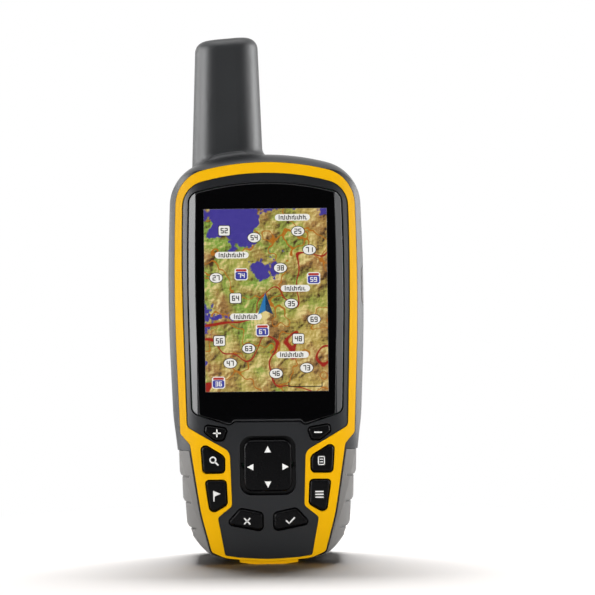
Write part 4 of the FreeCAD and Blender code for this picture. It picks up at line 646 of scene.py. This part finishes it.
# What the picture shows over the chart: numbered route badges at their middles, place names that can't be
# read, with their left ends and lengths, a scale bar and the arrow of the position.
ovals = {47: (-11.0, 60.4), 63: (-5.4, 64.8), 25: (9.8, 100.0), 71: (13.2, 94.4), 38: (4.4, 89.0),
         54: (-3.4, 98.2), 69: (14.4, 73.4), 46: (2.8, 57.2), 73: (12.0, 58.8), 27: (-15.0, 86.2),
         35: (7.6, 78.2)}
squares = {56: (-14.2, 67.2), 64: (-9.2, 80.0), 48: (9.6, 67.6), 52: (-12.4, 100.4)}
twoTone = {74: (-7.4, 87.2), 59: (14.4, 85.8), 67: (-1.2, 70.2), 36: (-14.6, 54.6)}
names = [(-10.4, 74.4, 8.6), (3.4, 104.2, 9.6), (5.0, 82.8, 7.8), (-14.8, 93.0, 9.2), (3.4, 62.8, 8.8)]
scaleBar = {"left": 6.6, "right": 16.6, "z": 53.2, "top": 54.4, "line": 0.3}
arrow = {"x": -0.2, "z": 75.0, "half": 2.3, "tall": 6.6, "notch": 1.1}
# half widths, half heights and cut corners of the badges; half width, half height and line of their figures
badge = {"oval": (1.9, 1.4), "ovalRim": (2.1, 1.6), "square": (1.65, 1.45, 0.3),
         "squareRim": (1.85, 1.65, 0.4), "shield": (2.0, 1.8, 0.5), "shieldBlue": (1.75, 1.15, 0.4),
         "blueDrop": 0.38, "shieldRed": (1.6, 0.34, 0.15), "redRise": 1.2, "figure": (0.34, 0.66, 0.28),
         "shieldFigure": (0.34, 0.6, 0.25)}
# a name is a white strip with a row of strokes that stand up by the rises in turn, and some cross strokes
lettering = {"strip": 2.0, "end": 0.5, "start": 0.8, "spare": 1.2, "pitch": 0.56, "foot": 0.55, "stem": 0.27,
             "cross": 0.24, "reach": 0.5, "high": 0.28,
             "rises": (0.66, 0.30, 0.30, 0.66, 0.30, 0.66, 0.30, 0.30)}
# how far each layer stands in front of the display panel
layers = {"edges": 0.02, "plates": 0.035, "blocks": 0.05, "marks": 0.065, "thick": 0.008}
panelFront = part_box("display_panel")[0].y / mm
whiteLight = inkFinish("picture_white", "f6f4ee", glow=1.0)
darkLight = inkFinish("picture_dark", "1c1714", glow=0.9)
blueLight = inkFinish("picture_blue", "3a3f9e", glow=1.0)
arrowLight = inkFinish("picture_arrow_blue", "2a78b4", glow=1.0)
arrowShade = inkFinish("picture_arrow_shade", "12385c", glow=1.0)
redLight = inkFinish("picture_red", "b8302a", glow=1.0)


def pictureLayer(name, outlines, layer, material):  # one layer of the picture, of plates as thick as a print
    platePiece(name, outlines, panelFront - layers[layer], layers["thick"], material, "case")


edges = [ellipse(x, z, *badge["ovalRim"]) for x, z in ovals.values()]
edges += [block(x, z, *badge["squareRim"]) for x, z in squares.values()]
plates = [ellipse(x, z, *badge["oval"]) for x, z in ovals.values()]
plates += [block(x, z, *badge["square"]) for x, z in squares.values()]
plates += [bar(x + lettering["end"], z, x + long - lettering["end"], z, lettering["strip"])
           for x, z, long in names]
plates += [block(x, z, *badge["shield"]) for x, z in twoTone.values()]
left, right, z, top, width = scaleBar.values()
marks = [bar(left, z, right, z, width), bar(left, z, left, top, width), bar(right, z, right, top, width)]
for value, (x, z) in (ovals | squares).items():
    marks += number(x, z, value, *badge["figure"])
for x, z, long in names:
    for k in range(int((long - lettering["spare"]) / lettering["pitch"])):
        left = x + lettering["start"] + lettering["pitch"] * k
        rise = lettering["rises"][k % len(lettering["rises"])]
        marks.append(bar(left, z - lettering["foot"], left, z + rise, lettering["stem"], count=4))
        if k % 3:
            across = z + (lettering["high"] if k % 2 else -lettering["foot"])
            marks.append(bar(left, across, left + lettering["reach"], across, lettering["cross"], count=4))
blues = [block(x, z - badge["blueDrop"], *badge["shieldBlue"]) for x, z in twoTone.values()]
reds = [block(x, z + badge["redRise"], *badge["shieldRed"]) for x, z in twoTone.values()]
figured = [outline for value, (x, z) in twoTone.items()
           for outline in number(x, z - badge["blueDrop"], value, *badge["shieldFigure"])]
pictureLayer("picture_edges", edges, "edges", darkLight)
pictureLayer("picture_plates", plates, "plates", whiteLight)
pictureLayer("picture_blocks", blues, "blocks", blueLight)
pictureLayer("picture_block_tops", reds, "blocks", redLight)
pictureLayer("picture_block_marks", figured, "marks", whiteLight)
pictureLayer("picture_marks", marks, "marks", darkLight)
x, z, wide, tall, notch = arrow.values()
pictureLayer("picture_arrow_light", [[(x, z + tall), (x - wide, z), (x, z + notch)]], "marks", arrowLight)
pictureLayer("picture_arrow_dark", [[(x, z + tall), (x, z + notch), (x + wide, z)]], "marks", arrowShade)
print("legends and picture marks made")
